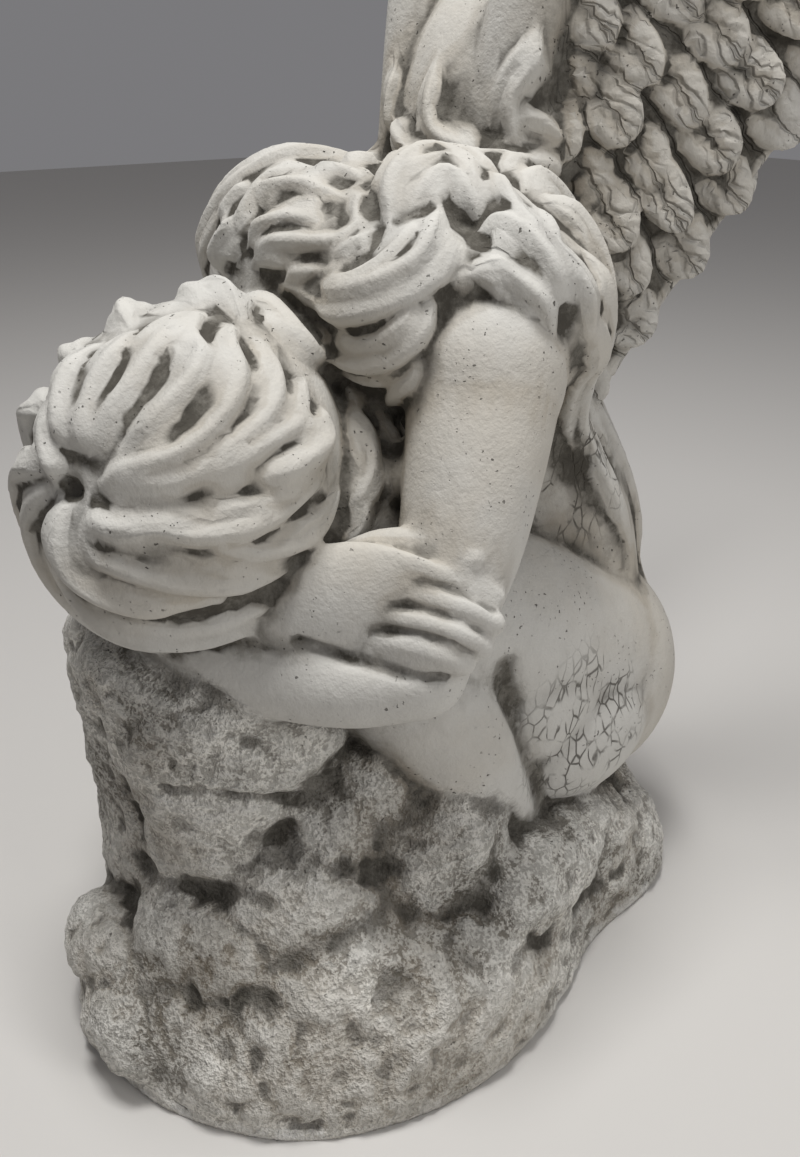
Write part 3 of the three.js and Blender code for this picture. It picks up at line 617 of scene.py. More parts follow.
# Strands over the shoulders and down the back: width, rise and the points they run through
maneLook = {"wider": 1.13, "root": 0.25, "tip": 0.25, "groove": 0.11}
maneStrands = [
    [20, 9, [[64, -15, 338], [62, -7, 344], [57, -2, 349], [50, 3, 356], [45, 12, 359],
             [41, 27, 359], [58, 33, 358], [69, 36, 354], [83, 36, 347]]],
    [17, 7, [[53, -19, 337], [51, -14, 345], [43, -12, 353], [40, -7, 358], [43, 3, 359]]],
    [15, 7, [[34, 6, 364], [16, 30, 366], [-4, 52, 368], [-17, 79, 376]]],
    [18, 8, [[44, 5, 359], [32, 30, 360], [50, 36, 360], [49, 51, 360], [46, 63, 369],
             [48, 81, 372]]],
    [20, 8, [[67, 35, 355], [56, 53, 359], [50, 70, 363], [57, 84, 360], [64, 96, 350]]],
    [20, 8, [[73, 42, 353], [63, 62, 356], [62, 82, 350], [70, 98, 336]]],
    [13, 5, [[6, -25, 353], [10, -21, 357], [20, -17, 358], [32, -13, 357], [38, -12, 355],
             [34, -17, 353], [23, -23, 352], [13, -25, 352]]],
    [15, 6, [[-12, -33, 344], [-10, -28, 352], [-4, -23, 357], [6, -19, 360], [17, -14, 361],
             [28, -10, 361], [37, -9, 357]]],
    [17, 7, [[-6, -37, 333], [4, -33, 341], [19, -27, 347], [32, -21, 349], [36, -15, 353]]],
    [18, 8, [[-1, -38, 327], [13, -34, 335], [31, -28, 339], [44, -21, 342], [46, -16, 347],
             [47, -11, 351]]],
    [18, 9, [[61, 24, 353], [64, 31, 355], [73, 33, 351], [85, 33, 345], [91, 35, 342],
             [100, 35, 334], [105, 44, 325]]],
    [18, 9, [[78, 16, 339], [81, 23, 342], [90, 28, 341], [99, 33, 334], [105, 36, 325],
             [107, 38, 317]]],
    [17, 8, [[72, 49, 353], [78, 58, 350], [84, 68, 340], [92, 76, 322], [96, 72, 308],
             [97, 59, 300]]],
    [16, 8, [[102, 42, 324], [106, 60, 304], [108, 82, 276], [104, 104, 244], [98, 120, 212],
             [92, 132, 188]]],
    [19, 9, [[34, -34, 315], [45, -28, 307], [54, -23, 302], [71, -20, 304], [81, -15, 312],
             [84, -10, 321], [83, -7, 327]]],
    [17, 8, [[51, -21, 293], [54, -16, 285], [60, -7, 284], [80, -11, 295], [84, -11, 307]]],
    [17, 7, [[0, -39, 317], [22, -41, 314], [43, -43, 309], [49, -37, 300], [47, -25, 293]]],
    [18, 8, [[-19, -30, 348], [-19, -35, 339], [-24, -38, 328], [-20, -39, 319]]],
    [16, 7, [[-18, -20, 360], [-25, -25, 354], [-28, -31, 345], [-35, -34, 336]]],
    [9, 4, [[83, -70, 225], [73, -43, 232], [76, -34, 240], [75, -31, 250], [73, -20, 259]]],
    [12, 5, [[52, -24, 282], [63, -23, 273], [71, -25, 261], [75, -32, 250], [74, -39, 239]]],
    [11, 5, [[57, -14, 277], [67, -12, 267], [77, -16, 259], [80, -22, 247]]],
    [16, 6, [[46, 62, 364], [31, 53, 367], [14, 56, 372], [8, 60, 386], [6, 64, 402]]],
    [14, 5, [[-15, 63, 368], [-22, 57, 376], [-26, 57, 388], [-28, 60, 402]]],
    [16, 6, [[49, 71, 413], [47, 68, 399], [44, 63, 385], [47, 66, 371], [48, 81, 359]]],
    [14, 6, [[42, 59, 375], [48, 69, 378], [58, 84, 370], [66, 98, 354]]],
    [13, 5, [[103, 38, 321], [106, 53, 304], [102, 76, 280], [94, 98, 250], [86, 114, 226],
             [84, 126, 200], [84, 134, 180]]],
    [11, 4, [[99, 59, 318], [98, 76, 296], [92, 94, 270], [86, 108, 244]]],
    [17, 7, [[64, 13, 347], [66, 4, 345], [69, -5, 342], [72, -12, 337], [70, -19, 331],
             [61, -24, 325], [48, -27, 324], [38, -30, 325], [28, -34, 326]]],
    [21, 9, [[52, 17, 355], [62, 12, 348], [71, 3, 343], [78, -4, 337], [78, -12, 331],
             [72, -21, 325], [58, -25, 320], [43, -29, 320], [31, -33, 322], [18, -36, 323]]],
    [14, 6, [[64, 2, 346], [55, 5, 353], [51, 13, 356], [50, 24, 356], [61, 27, 355],
             [70, 29, 351], [80, 29, 346]]],
    [13, 6, [[71, 2, 343], [60, 10, 350], [56, 19, 353], [64, 22, 351], [73, 23, 347],
             [81, 23, 342]]],
    [14, 6, [[33, -31, 331], [43, -26, 334], [51, -20, 337], [54, -15, 342], [52, -11, 348]]],
    [13, 6, [[22, -36, 320], [31, -33, 327], [41, -28, 330], [51, -23, 333], [57, -18, 336]]],
    [14, 6, [[-23, -36, 335], [-13, -34, 342], [-12, -29, 350], [-11, -19, 361], [0, -12, 365],
             [12, -5, 367]]],
    [14, 6, [[8, -16, 362], [17, -8, 365], [29, -2, 364], [41, 1, 360]]],
    [13, 6, [[16, -2, 367], [19, 8, 368], [22, 18, 367]]],
    [13, 5, [[49, -16, 345], [42, -20, 346], [33, -25, 344], [23, -30, 341], [12, -34, 338]]],
    [15, 7, [[35, -36, 309], [44, -31, 301], [51, -23, 295], [64, -17, 296], [78, -15, 305],
             [84, -11, 312]]],
    [13, 6, [[55, -19, 280], [57, -11, 276], [60, -3, 279], [81, -11, 293]]],
    [16, 8, [[84, 6, 330], [92, 16, 330], [100, 26, 322], [106, 30, 308]]],
    [15, 7, [[90, 56, 338], [100, 62, 320], [104, 76, 296], [100, 96, 262]]],
    [15, 7, [[80, 66, 350], [92, 78, 330], [98, 92, 300], [94, 112, 262]]],
    [16, 7, [[86, 22, 346], [96, 34, 338], [104, 46, 322], [108, 56, 300]]],
    # The far side, which the photo's view doesn't reach
    [19, 8, [[-20, 40, 366], [-44, 14, 362], [-62, -8, 350], [-78, -20, 330], [-88, -22, 306]]],
    [18, 8, [[-30, 60, 364], [-56, 38, 360], [-78, 16, 346], [-94, 2, 324], [-100, -2, 298]]],
    [18, 7, [[-40, 74, 356], [-66, 62, 350], [-88, 44, 334], [-102, 30, 308], [-104, 24, 282]]],
    [18, 7, [[-46, 84, 346], [-70, 84, 336], [-92, 74, 314], [-104, 64, 284], [-104, 66, 250]]],
    [17, 7, [[-10, 8, 368], [-34, -14, 360], [-52, -30, 344], [-64, -36, 324], [-68, -34, 300]]],
    [17, 7, [[10, 20, 366], [-8, 0, 366], [-24, -16, 362], [-40, -28, 350], [-50, -34, 336]]],
]


backLook = {"count": 11, "reach": 72, "width": 17, "rise": 5.5, "sway": 7}


def backStrands():
    # Strands side by side down the back, each swaying on a sine of its own phase
    look = backLook
    made = []
    for number in range(look["count"]):
        x = -look["reach"] + 2 * look["reach"] * number / (look["count"] - 1)
        wave = look["sway"] * np.sin(np.arange(6) * 1.5 + number * 1.3)
        made.append([look["width"], look["rise"], [
            [x * 0.9 + wave[0], 96, 300], [x + wave[1], 122, 268], [x * 1.0 + wave[2], 142, 236],
            [x * 0.98 + wave[3], 158, 204], [x * 0.92 + wave[4], 166, 176],
            [x * 0.8 + wave[5], 170, 148]]])
    return made


# The bodies joined, skinned and smoothed

def statueBodies():
    # Every closed body of the casting, by the kind of surface that it shows
    rockParts = rockBodies()
    skinParts = bodyBodies() + [barBridge()]
    hairParts = [headBody()] + hairMasses()
    leftBar, leftFeathers = wingBodies(1)
    rightBar, rightFeathers = wingBodies(-1)
    skinParts += leftBar[:1] + rightBar[:1]
    featherParts = leftBar[1:] + rightBar[1:] + leftFeathers + rightFeathers
    # Strands are laid on a smooth skin of the masses below them
    verts, tris = joined(skinParts + hairParts)
    under = skinned("under", verts * mm, tris, 3 * mm)
    place, edges, _ = arraysOf(under)
    place = neighbourMean(place, edges, 4)
    faces = [list(face.vertices) for face in under.polygons]
    surface = BVHTree.FromPolygons((place / mm).tolist(), faces)
    for width, rise, points in maneStrands + backStrands():
        path, normals = laidOn(surface, points, 8 * len(points))
        hairParts.append(strand(path, normals, width * maneLook["wider"], rise, root=maneLook["root"],
                                tip=maneLook["tip"], twist=1.2 + len(points) * 0.2,
                                groove=maneLook["groove"]))
    hairParts += headStrands()
    return {"rock": rockParts, "skin": skinParts, "hair": hairParts, "feather": featherParts,
            "hand": handBodies()}


def finer(grid, step):
    # The grid with points added between its rows and columns, at most a step apart
    grid = np.concatenate([grid, grid[:, :1]], 1)
    for axis in (0, 1):
        reach = np.linalg.norm(np.diff(grid[..., :3], axis=axis), axis=2).max()
        parts = int(min(max(np.ceil(reach / step), 1), 8))
        count = grid.shape[axis]
        t = np.linspace(0, count - 1, (count - 1) * parts + 1)
        low = np.minimum(t.astype(int), count - 2)
        f = (t - low).reshape((-1, 1, 1) if axis == 0 else (1, -1, 1))
        grid = np.take(grid, low, axis) * (1 - f) + np.take(grid, low + 1, axis) * f
    if grid.shape[2] == 3:
        grid = withLanes(grid, 0.0, 0.5)
    return grid.reshape(-1, 5)


def blurred(volume, size):
    # Each cell becomes a quarter of both neighbours and half of itself, along each axis
    volume = volume.astype(np.float32).reshape(size)
    for axis in (0, 1, 2):
        volume = (np.roll(volume, 1, axis) + 2 * volume + np.roll(volume, -1, axis)) / 4
    return volume


def cellShares(bodies, cell=2.6):
    # How much of each kind's surface lies in each cell of a box round the statue, blurred a
    # little, so that a place on the cast can ask what it is
    points = {name: np.vstack([finer(grid, cell) for grid in parts])
              for name, parts in bodies.items()}
    everything = np.vstack(list(points.values()))[:, :3]
    low = everything.min(0) - 5 * cell
    size = np.ceil((everything.max(0) - low) / cell).astype(int) + 6
    volumes = {}
    for name, found in points.items():
        index = np.floor((found[:, :3] - low) / cell).astype(int)
        flat = (index[:, 0] * size[1] + index[:, 1]) * size[2] + index[:, 2]
        count = np.bincount(flat, minlength=size.prod())
        volumes[name] = blurred(np.minimum(count, 3), size)
        if name in ("hair", "feather"):
            for lane, column in (("Across", 3), ("Along", 4)):
                total = np.bincount(flat, found[:, column], size.prod())
                share = total / np.maximum(count, 1) * np.minimum(count, 3)
                volumes[name + lane] = blurred(share, size)
    return {"low": low, "cell": cell, "size": size, "volumes": volumes}


def kindMasks(points, cells):
    # Soft shares of rock, skin, hair and the rest, read from the cells
    place = (points - cells["low"]) / cells["cell"] - 0.5
    corner = np.clip(np.floor(place).astype(int), 0, cells["size"] - 2)
    f = np.clip(place - corner, 0, 1)
    shares = {}
    for name, volume in cells["volumes"].items():
        total = 0
        for bits in np.ndindex(2, 2, 2):
            bit = np.array(bits)
            c = corner + bit
            total = total + np.prod(np.where(bit, f, 1 - f), 1) * volume[c[:, 0], c[:, 1], c[:, 2]]
        shares[name] = total + 1e-4
    kinds = ("rock", "skin", "hair", "feather", "hand")
    total = sum(shares[name]**1.6 for name in kinds)
    masks = {name: shares[name]**1.6 / total for name in kinds}
    # Where each place lies across and along the strand or feather it belongs to
    for lane in ("Across", "Along"):
        masks[lane] = ((shares["hair" + lane] + shares["feather" + lane])
                       / (shares["hair"] + shares["feather"]))
    return masks


carving = {"voxel": 1.35, "hairSmooth": 1, "handSmooth": 2, "skinSmooth": 10, "rockSmooth": 14,
           "budget": 196000}


# Cuts into the surface, by the points they run through, and how wide and deep they are
cuts = [
    [3.6, 6.5, [[46, -133, 269], [47, -129, 268]]],
    [3.0, 4.5, [[55, -117, 136], [67, -107, 138], [75, -94, 134], [76, -74, 126]]],
    [5.0, 3.5, [[28, -123, 82], [64, -111, 86], [87, -94, 89]]],
    [6.5, 4.0, [[107, 19, 170], [108, 23, 150], [114, 36, 112], [114, 44, 92]]],
    [2.4, 2.6, [[92, -72, 209], [106, -59, 204], [121, -47, 201], [130, -36, 199]]],
]


def cutShare(points):
    # Each place's share of the nearest cut, and the depth it is pressed in by
    share, depth = np.zeros(len(points)), np.zeros(len(points))
    upper = [np.array(knots, float) + [0, 0, seat] for knots in digits[1:]]
    between = [[*handLook["parting"], (a + b) / 2] for a, b in zip(upper, upper[1:])]
    for wide, deep, line in cuts + between:
        for start, end in zip(line, line[1:]):
            start, way = np.array(start, float), np.array(end, float) - start
            t = np.clip((points - start) @ way / (way @ way), 0, 1)
            gap = np.linalg.norm(points - start - t[:, None] * way, axis=1)
            here = np.exp(-(gap / wide) ** 2)
            share, depth = np.maximum(share, here), np.maximum(depth, here * deep)
    return share, depth


def rockRelief(points):
    # Broad swells, then rounded lumps that meet in creases at two sizes, and grit
    look = rockLook
    warped = points + 5 * np.stack([noise(points, 20, seed) for seed in (6, 7, 8)], 1)
    lumps = noise(warped, 17, 2) + 0.5 * noise(warped, 11, 12)
    small = noise(warped, 7, 4) + 0.5 * np.minimum(noise(warped, 9, 14), 0)
    grit = noise(points, 3.4, 5)
    return (look["coarse"] * noise(points, 42, 1) + look["lumps"] * lumps + look["small"] * small
            + look["grit"] * grit)


def buildStatue():
    # One skin round all the bodies, smoothed by kind, cut, given the rock's relief, thinned
    bodies = statueBodies()
    cells = cellShares(bodies)
    verts, tris = joined(sum(bodies.values(), []))
    print("bodies: %d, %d points" % (sum(map(len, bodies.values())), len(verts)))
    voxel = carving["voxel"] * 1.0
    mesh = skinned("cast", verts * mm, tris, voxel * mm)
    place, edges, _ = arraysOf(mesh)
    place /= mm
    print("skin: %d points" % len(place))
    masks = kindMasks(place, cells)
    # Junctions of the skin are filled and rounded, hair keeps its edges
    smooth = neighbourMean(place, edges, carving["hairSmooth"], 0.3)
    rounded = neighbourMean(smooth, edges, carving["handSmooth"], 0.3)
    soft = neighbourMean(rounded, edges, carving["skinSmooth"], 0.3)
    softer = neighbourMean(soft, edges, carving["rockSmooth"], 0.3)
    skinShare = neighbourMean(masks["skin"], edges, 3)[:, None]
    rockShare = neighbourMean(masks["rock"], edges, 3)[:, None]
    rockShare = rockShare * smoothStep(3, 9, place[:, 2:])
    handShare = neighbourMean(masks["hand"], edges, 3)[:, None]
    plain = 1 - skinShare - rockShare - handShare
    place = smooth * plain + soft * skinShare + softer * rockShare + rounded * handShare
    mesh.vertices.foreach_set("co", (place * mm).ravel())
    mesh.update()
    place, edges, normals = arraysOf(mesh)
    place /= mm
    rockShare = neighbourMean(masks["rock"], edges, 2)
    above = smoothStep(0.5, 6, place[:, 2])
    place = place + normals * (rockRelief(place) * rockShare * above - cutShare(place)[1])[:, None]
    # The underside is flat
    under = (place[:, 2] < 1.6) & (normals[:, 2] < -0.3)
    place[:, 2] = np.where(under, 0, np.maximum(place[:, 2], 0))
    mesh.vertices.foreach_set("co", (place * mm).ravel())
    mesh.update()
    statue = objectFrom("wingedWoman", mesh)
    faces = sum(len(polygon.vertices) - 2 for polygon in mesh.polygons)
    budget = carving["budget"] / 1
    thin = statue.modifiers.new("thin", "DECIMATE")
    thin.ratio = min(1, budget / faces)
    thin.use_collapse_triangulate = True
    thinned = bakedMesh(statue)
    statue.modifiers.clear()
    statue.data = thinned
    print("thinned: %d of %d triangles" % (len(thinned.polygons), faces))
    return statue, cells


def setAttribute(mesh, name, values):
    # A value from 0 to 1 at each point, for the material to read
    layer = mesh.attributes.new(name, "FLOAT", "POINT")
    layer.data.foreach_set("value", np.clip(values, 0, 1).astype(np.float32))


# How far each reading of the hollows looks, in steps of the mesh, the depth in mm that fills its range, and
# how often it is smoothed; and how much a cut adds.
# The readings darken the colour as patina and as painted shade in the hollows.
hollowReading = {"fine": (2, 1.2, 1), "broad": (12, 5, 2), "deep": (60, 16, 6), "cut": 0.22}


def readSurface(statue, cells):
    # What the patina and painted shade of the hollows are read from: how far each place lies below the mean
    # of the places round it, finely and broadly, and its kind
    mesh = statue.data
    place, edges, normals = arraysOf(mesh)
    place /= mm
    masks = kindMasks(place, cells)
    for name in ("fine", "broad", "deep"):
        steps, span, soft = hollowReading[name]
        hollow = np.einsum("ij,ij->i", neighbourMean(place, edges, steps) - place, normals)
        value = neighbourMean(0.5 + hollow / span, edges, soft)
        if name == "fine":
            value = value + hollowReading["cut"] * cutShare(place)[0]
        setAttribute(mesh, name, value)
    for name in ("rock", "hair", "feather"):
        setAttribute(mesh, name, neighbourMean(masks[name], edges, 2))
    setAttribute(mesh, "across", 0.5 + 0.5 * neighbourMean(masks["Across"], edges, 1))
    setAttribute(mesh, "along", neighbourMean(masks["Along"], edges, 1))


statue, cells = buildStatue()
readSurface(statue, cells)
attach(statue, "root")
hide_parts("winged_woman_statue")
statue.data.polygons.foreach_set("use_smooth", np.ones(len(statue.data.polygons), bool))
print("attributes set")


# The worn cast stone

# The patina colour also paints shade in the hollows, and the brown and the bloom paint some shade there too
stoneLook = {
    "pale": (0.53, 0.515, 0.48, 1), "warm": (0.46, 0.42, 0.355, 1), "patinaAndShade": (0.075, 0.068, 0.056, 1),
    "rockPale": (0.95, 0.92, 0.85, 1), "rockDark": (0.13, 0.115, 0.09, 1),
    "brownStainAndShade": (0.20, 0.155, 0.10, 1), "bloomAndShade": (0.24, 0.225, 0.195, 1),
    "chip": (0.86, 0.85, 0.82, 1), "worn": (0.68, 0.665, 0.62, 1), "roughness": 0.93,
}


class Nodes:
    # Short ways to add and join shader nodes in one tree
    def __init__(self, tree):
        self.tree = tree

    def add(self, kind, **settings):
        node = self.tree.nodes.new(kind)
        for name, value in settings.items():
            setattr(node, name, value)
        return node

    def put(self, socket, value):
        if isinstance(value, bpy.types.NodeSocket):
            self.tree.links.new(value, socket)
        else:
            socket.default_value = value

    def math(self, operation, a, b=0.0, c=0.0, clamp=False):
        node = self.add("ShaderNodeMath", operation=operation, use_clamp=clamp)
        for socket, value in zip(node.inputs, (a, b, c)):
            self.put(socket, value)
        return node.outputs[0]

    def ramp(self, value, low, high, first=0.0, last=1.0):
        node = self.add("ShaderNodeMapRange", interpolation_type="SMOOTHSTEP", clamp=True)
        for socket, number in zip(node.inputs, (value, low, high, first, last)):
            self.put(socket, number)
        return node.outputs[0]

    def mix(self, share, a, b):
        node = self.add("ShaderNodeMix", data_type="RGBA")
        self.put(node.inputs["Factor"], share)
        self.put(node.inputs[6], a)
        self.put(node.inputs[7], b)
        return node.outputs[2]

    def noise(self, place, scale, detail=4.0, rough=0.55):
        node = self.add("ShaderNodeTexNoise")
        self.put(node.inputs["Vector"], place)
        node.inputs["Scale"].default_value = scale
        node.inputs["Detail"].default_value = detail
        node.inputs["Roughness"].default_value = rough
        return node.outputs["Fac"]

    def cells(self, place, scale, feature="F1"):
        node = self.add("ShaderNodeTexVoronoi", feature=feature)
        self.put(node.inputs["Vector"], place)
        node.inputs["Scale"].default_value = scale
        return node.outputs["Distance"]

    def group(self, tree, **values):
        node = self.add("ShaderNodeGroup", node_tree=tree)
        for name, value in values.items():
            self.put(node.inputs[name], value)
        return node.outputs[0]

    def attribute(self, name):
        return self.add("ShaderNodeAttribute", attribute_name=name).outputs["Fac"]


def grooveGroup():
    # Fine grooves along each hair strand, and a shaft and slanting barbs on each feather
    tree = bpy.data.node_groups.new("grooves", "ShaderNodeTree")
    for name in ("Across", "Along", "Hair", "Feather"):
        tree.interface.new_socket(name, in_out="INPUT", socket_type="NodeSocketFloat")
    tree.interface.new_socket("Depth", in_out="OUTPUT", socket_type="NodeSocketFloat")
    n = Nodes(tree)
    given = n.add("NodeGroupInput").outputs
    place = n.add("ShaderNodeTexCoord").outputs["Object"]
    wander = n.ramp(n.noise(place, 30, 2), 0.25, 0.75, -0.06, 0.06)
    across = n.math("ADD", given["Across"], wander)
    # Hair: valleys of a wave across the strand, some fainter than others
    wave = n.math("COSINE", n.math("MULTIPLY", across, 2 * np.pi * 2.6))
    valley = n.math("POWER", n.math("MULTIPLY_ADD", wave, 0.5, 0.5), 3)
    valley = n.math("MULTIPLY", valley, n.ramp(n.noise(place, 26, 2), 0.36, 0.62, 0.15, 1))
    # Feather: the shaft in the middle, barbs that slant off it
    off = n.math("ABSOLUTE", n.math("SUBTRACT", across, 0.5))
    shaft = n.ramp(off, 0.06, 0.015)
    slant = n.math("SUBTRACT", n.math("MULTIPLY", given["Along"], 6), n.math("MULTIPLY", off, 5))
    barbs = n.math("COSINE", n.math("MULTIPLY", slant, 2 * np.pi))
    barbs = n.math("POWER", n.math("MULTIPLY_ADD", barbs, 0.5, 0.5), 4)
    barbs = n.math("MULTIPLY", barbs, n.ramp(n.noise(place, 40, 2), 0.4, 0.6, 0.1, 0.8))
    depth = n.math("ADD", n.math("MULTIPLY", valley, n.math("MULTIPLY", given["Hair"], 0.4)),
                   n.math("MULTIPLY", n.math("MAXIMUM", shaft, barbs), given["Feather"]))
    n.put(n.add("NodeGroupOutput").inputs["Depth"], depth)
    return tree


def castStone():
    # Pale cast face and gritty rock, under patina and painted shade in the hollows, bloom, pits and crackle
    material = bpy.data.materials.new("castStone")
    material.use_nodes = True
    n = Nodes(material.node_tree)
    shader = material.node_tree.nodes["Principled BSDF"]
    place = n.add("ShaderNodeTexCoord").outputs["Object"]
    fine, broad, deep = n.attribute("fine"), n.attribute("broad"), n.attribute("deep")
    rock, hair, feather = n.attribute("rock"), n.attribute("hair"), n.attribute("feather")
    large = n.noise(place, 9, 5)
    medium = n.noise(place, 38, 5)
    grain = n.noise(place, 210, 3, 0.65)
    sand = n.noise(place, 620, 2, 0.6)
    # Plain cast face: pale, clouded, warmer in places
    colour = n.mix(n.ramp(large, 0.42, 0.66), stoneLook["pale"], stoneLook["warm"])
    colour = n.mix(n.math("MULTIPLY", feather, n.ramp(medium, 0.35, 0.65, 0.25, 0.8)),
                   colour, stoneLook["warm"])
    # Rock: sharp light and dark grains over larger patches
    speck = n.ramp(n.math("ADD", n.math("MULTIPLY", grain, 0.5), n.math("MULTIPLY", sand, 0.5)), 0.45, 0.55)
    patch = n.ramp(n.noise(place, 20, 5), 0.36, 0.60)
    pale = n.math("ADD", n.math("MULTIPLY", speck, 0.5), n.math("MULTIPLY", patch, 0.5))
    rockColour = n.mix(pale, stoneLook["rockDark"], stoneLook["rockPale"])
    colour = n.mix(n.math("MULTIPLY", rock, 0.85), colour, rockColour)
    # Whitish chips along the bottom rim
    parts = n.add("ShaderNodeSeparateXYZ")
    n.put(parts.inputs[0], place)
    chips = n.math("MULTIPLY", n.ramp(parts.outputs["Z"], 0.012, 0.002),
                   n.ramp(n.noise(place, 75, 3), 0.50, 0.56))
    colour = n.mix(n.math("MULTIPLY", chips, 0.8), colour, stoneLook["chip"])
    # Patina and painted shade gather in the hollows, more where the clouding is dark; the deep reading
    # paints the shade where parts close in on each other, and on hair and feathers the hollows darken up to
    # about twice as much, as painted shade between locks and feathers
    hollow = n.math("ADD", n.ramp(fine, 0.52, 0.74, 0, 0.6), n.ramp(broad, 0.54, 0.88, 0, 0.6))
    hollow = n.math("ADD", hollow, n.ramp(deep, 0.56, 0.92, 0, 0.4))
    hollow = n.math("MULTIPLY", hollow, n.ramp(n.math("ADD", hair, feather), 0, 1, 1, 2.1))
    hollowPatinaAndShade = n.math("MULTIPLY", hollow, n.ramp(medium, 0.3, 0.7, 0.55, 1.25))
    hollowPatinaAndShade = n.math("MULTIPLY", hollowPatinaAndShade, n.ramp(grain, 0.25, 0.6, 0.7, 1.1), clamp=True)
    # Brown in the deep hollows, where the clouding is dark, is painted shade; brown in large patches on the
    # rock is its own stain
    stainAndShade = n.math("MULTIPLY", n.ramp(deep, 0.52, 0.70), n.ramp(large, 0.42, 0.60))
    stainAndShade = n.math("MAXIMUM", stainAndShade, n.math("MULTIPLY", rock, n.ramp(large, 0.50, 0.66, 0, 0.7)))
    colour = n.mix(n.math("MULTIPLY", stainAndShade, 0.6), colour, stoneLook["brownStainAndShade"])
    colour = n.mix(hollowPatinaAndShade, colour, stoneLook["patinaAndShade"])
    # A thin grey bloom mottles the whole surface, and thickens towards the hollows as painted shade
    bloomAndShade = n.math("MULTIPLY", n.ramp(n.noise(place, 90, 6, 0.7), 0.42, 0.68),
                   n.ramp(broad, 0.40, 0.60, 0.18, 0.62))
    colour = n.mix(bloomAndShade, colour, stoneLook["bloomAndShade"])
    # Worn crests are paler
    worn = n.math("MULTIPLY", n.ramp(fine, 0.47, 0.30), 0.35)
    colour = n.mix(worn, colour, stoneLook["worn"])
    grooves = n.group(grooveGroup(), Across=n.attribute("across"), Along=n.attribute("along"),
                      Hair=hair, Feather=feather)
    colour = n.mix(n.math("MULTIPLY", grooves, 0.3), colour, stoneLook["patinaAndShade"])
    # Small black pits left by air in the mould
    pits = n.ramp(n.noise(place, 560, 1), 0.70, 0.76)
    pits = n.math("MULTIPLY", pits, n.ramp(n.noise(place, 45, 2), 0.46, 0.60))
    colour = n.mix(n.math("MULTIPLY", pits, 0.8), colour, stoneLook["patinaAndShade"])
    # Dark crackle, where the vein attribute lets it through
    warp = n.add("ShaderNodeVectorMath", operation="ADD")
    shift = n.add("ShaderNodeTexNoise")
    n.put(shift.inputs["Vector"], place)
    shift.inputs["Scale"].default_value = 40
    small = n.add("ShaderNodeVectorMath", operation="SCALE")
    n.put(small.inputs[0], shift.outputs["Color"])
    small.inputs["Scale"].default_value = 0.011
    tall = n.add("ShaderNodeVectorMath", operation="MULTIPLY")
    n.put(tall.inputs[0], place)
    tall.inputs[1].default_value = (1, 1, 0.5)
    n.put(warp.inputs[0], tall.outputs[0])
    n.put(warp.inputs[1], small.outputs[0])
    crack = n.ramp(n.cells(warp.outputs[0], 190, "DISTANCE_TO_EDGE"), 0.09, 0.02)
    crack = n.math("MULTIPLY", crack, n.ramp(n.noise(place, 60, 3), 0.44, 0.60))
    crack = n.math("MULTIPLY", crack, n.attribute("vein"), clamp=True)
    colour = n.mix(n.math("MULTIPLY", crack, 0.85), colour, stoneLook["patinaAndShade"])
    n.put(shader.inputs["Base Color"], colour)
    shader.inputs["Roughness"].default_value = stoneLook["roughness"]
    shader.inputs["Specular IOR Level"].default_value = 0.25
    # Sandy skin, rougher on the rock, with the pits sunk
    height = n.math("ADD", n.math("MULTIPLY", grain, n.ramp(rock, 0, 1, 0.35, 3.0)),
                    n.math("MULTIPLY", sand, n.ramp(rock, 0, 1, 0.2, 1.5)))
    height = n.math("SUBTRACT", height, n.math("MULTIPLY", pits, 0.9))
    height = n.math("SUBTRACT", height, n.math("MULTIPLY", crack, 0.3))
    height = n.math("SUBTRACT", height, n.math("MULTIPLY", grooves, 1.3))
    bump = n.add("ShaderNodeBump")
    bump.inputs["Strength"].default_value = 0.85
    bump.inputs["Distance"].default_value = 0.0016
    n.put(bump.inputs["Height"], height)
    n.put(shader.inputs["Normal"], bump.outputs["Normal"])
    return material


def veinShare(place):
    # Crackle shows on the near thigh's lower end and on the flank behind the arm
    spots = np.array([[73, 84, 230, 36], [110, 68, 122, 46], [-84, 60, 130, 40]], float)
    gap = np.linalg.norm(place[:, None] - spots[None, :, :3], axis=2)
    return smoothStep(1.15, 0.55, gap / spots[None, :, 3]).max(1)


place, edges, _ = arraysOf(statue.data)
setAttribute(statue.data, "vein", veinShare(place / mm))
statue.data.materials.clear()
statue.data.materials.append(castStone())
print("cast stone ready")


# Floor, light and camera

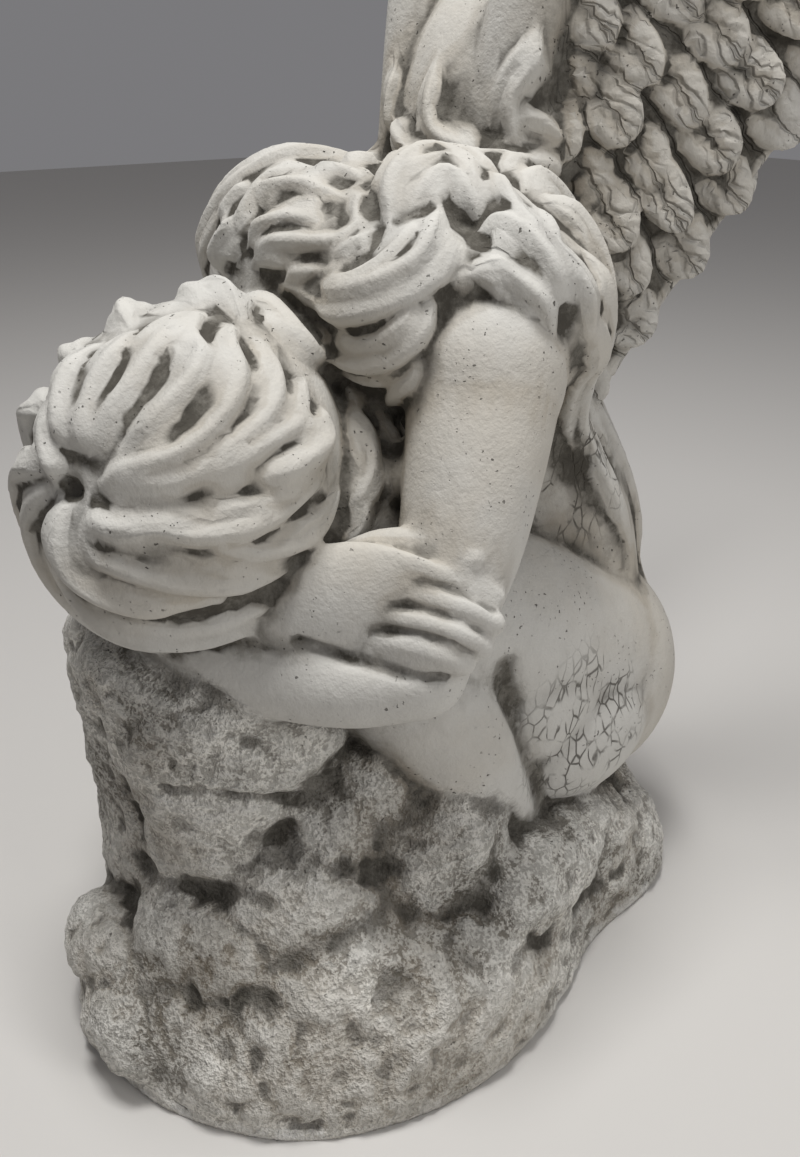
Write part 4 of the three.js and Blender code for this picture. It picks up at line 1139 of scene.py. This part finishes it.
stageLook = {
    "floor": (0.62, 0.60, 0.57, 1), "sky": (0.97, 0.96, 1.0, 1), "skyStrength": 0.2,
    "key": 17.5, "keySize": 0.4, "keyPlace": (20, -120, 1550),
    "fill": 4.5, "fillPlace": (1200, 300, 750),
    "focal": 1000, "frameHigh": 1157, "eye": (369.7, -228.0, 400.0),
    "right": (0.588, 0.809, 0.0), "up": (-0.3735, 0.2715, 0.887), "back": (0.7176, -0.5216, 0.4617),
}


def addFloor():
    side = 4.0
    corners = np.array([[-side, -side, 0], [side, -side, 0], [side, side, 0], [-side, side, 0]])
    floor = objectFrom("floor", meshFrom("floor", corners, np.array([[0, 1, 2, 3]])))
    paint = bpy.data.materials.new("paleFloor")
    paint.use_nodes = True
    shader = paint.node_tree.nodes["Principled BSDF"]
    shader.inputs["Base Color"].default_value = stageLook["floor"]
    shader.inputs["Roughness"].default_value = 0.9
    floor.data.materials.append(paint)


def addLight(name, energy, size, place):
    lamp = bpy.data.lights.new(name, "AREA")
    lamp.energy, lamp.size = energy, size
    made = objectFrom(name, lamp)
    made.location = Vector(place) * mm
    aim = Vector((0, 0, 0.25 * drawnHeight * mm / 0.65)) - made.location
    made.rotation_euler = aim.to_track_quat("-Z", "Y").to_euler()


def addCamera():
    look = stageLook
    lens = bpy.data.cameras.new("camera")
    lens.sensor_width = 36
    lens.lens = 36 * look["focal"] / look["frameHigh"]
    lens.clip_start = 0.01
    made = objectFrom("camera", lens)
    axes = [unit(np.array(look[name])) for name in ("right", "up", "back")]
    matrix = np.eye(4)
    matrix[:3, :3] = np.column_stack(axes)
    matrix[:3, 3] = np.array(look["eye"]) * mm
    made.matrix_world = Matrix(matrix.tolist())
    bpy.context.scene.camera = made


addFloor()
addLight("key", stageLook["key"], stageLook["keySize"], stageLook["keyPlace"])
addLight("fill", stageLook["fill"], stageLook["keySize"], stageLook["fillPlace"])
addCamera()
world = bpy.data.worlds.new("sky")
bpy.context.scene.world = world
world.use_nodes = True
background = world.node_tree.nodes["Background"]
background.inputs["Color"].default_value = stageLook["sky"]
background.inputs["Strength"].default_value = stageLook["skyStrength"]
bpy.context.scene.view_settings.view_transform = "Standard"
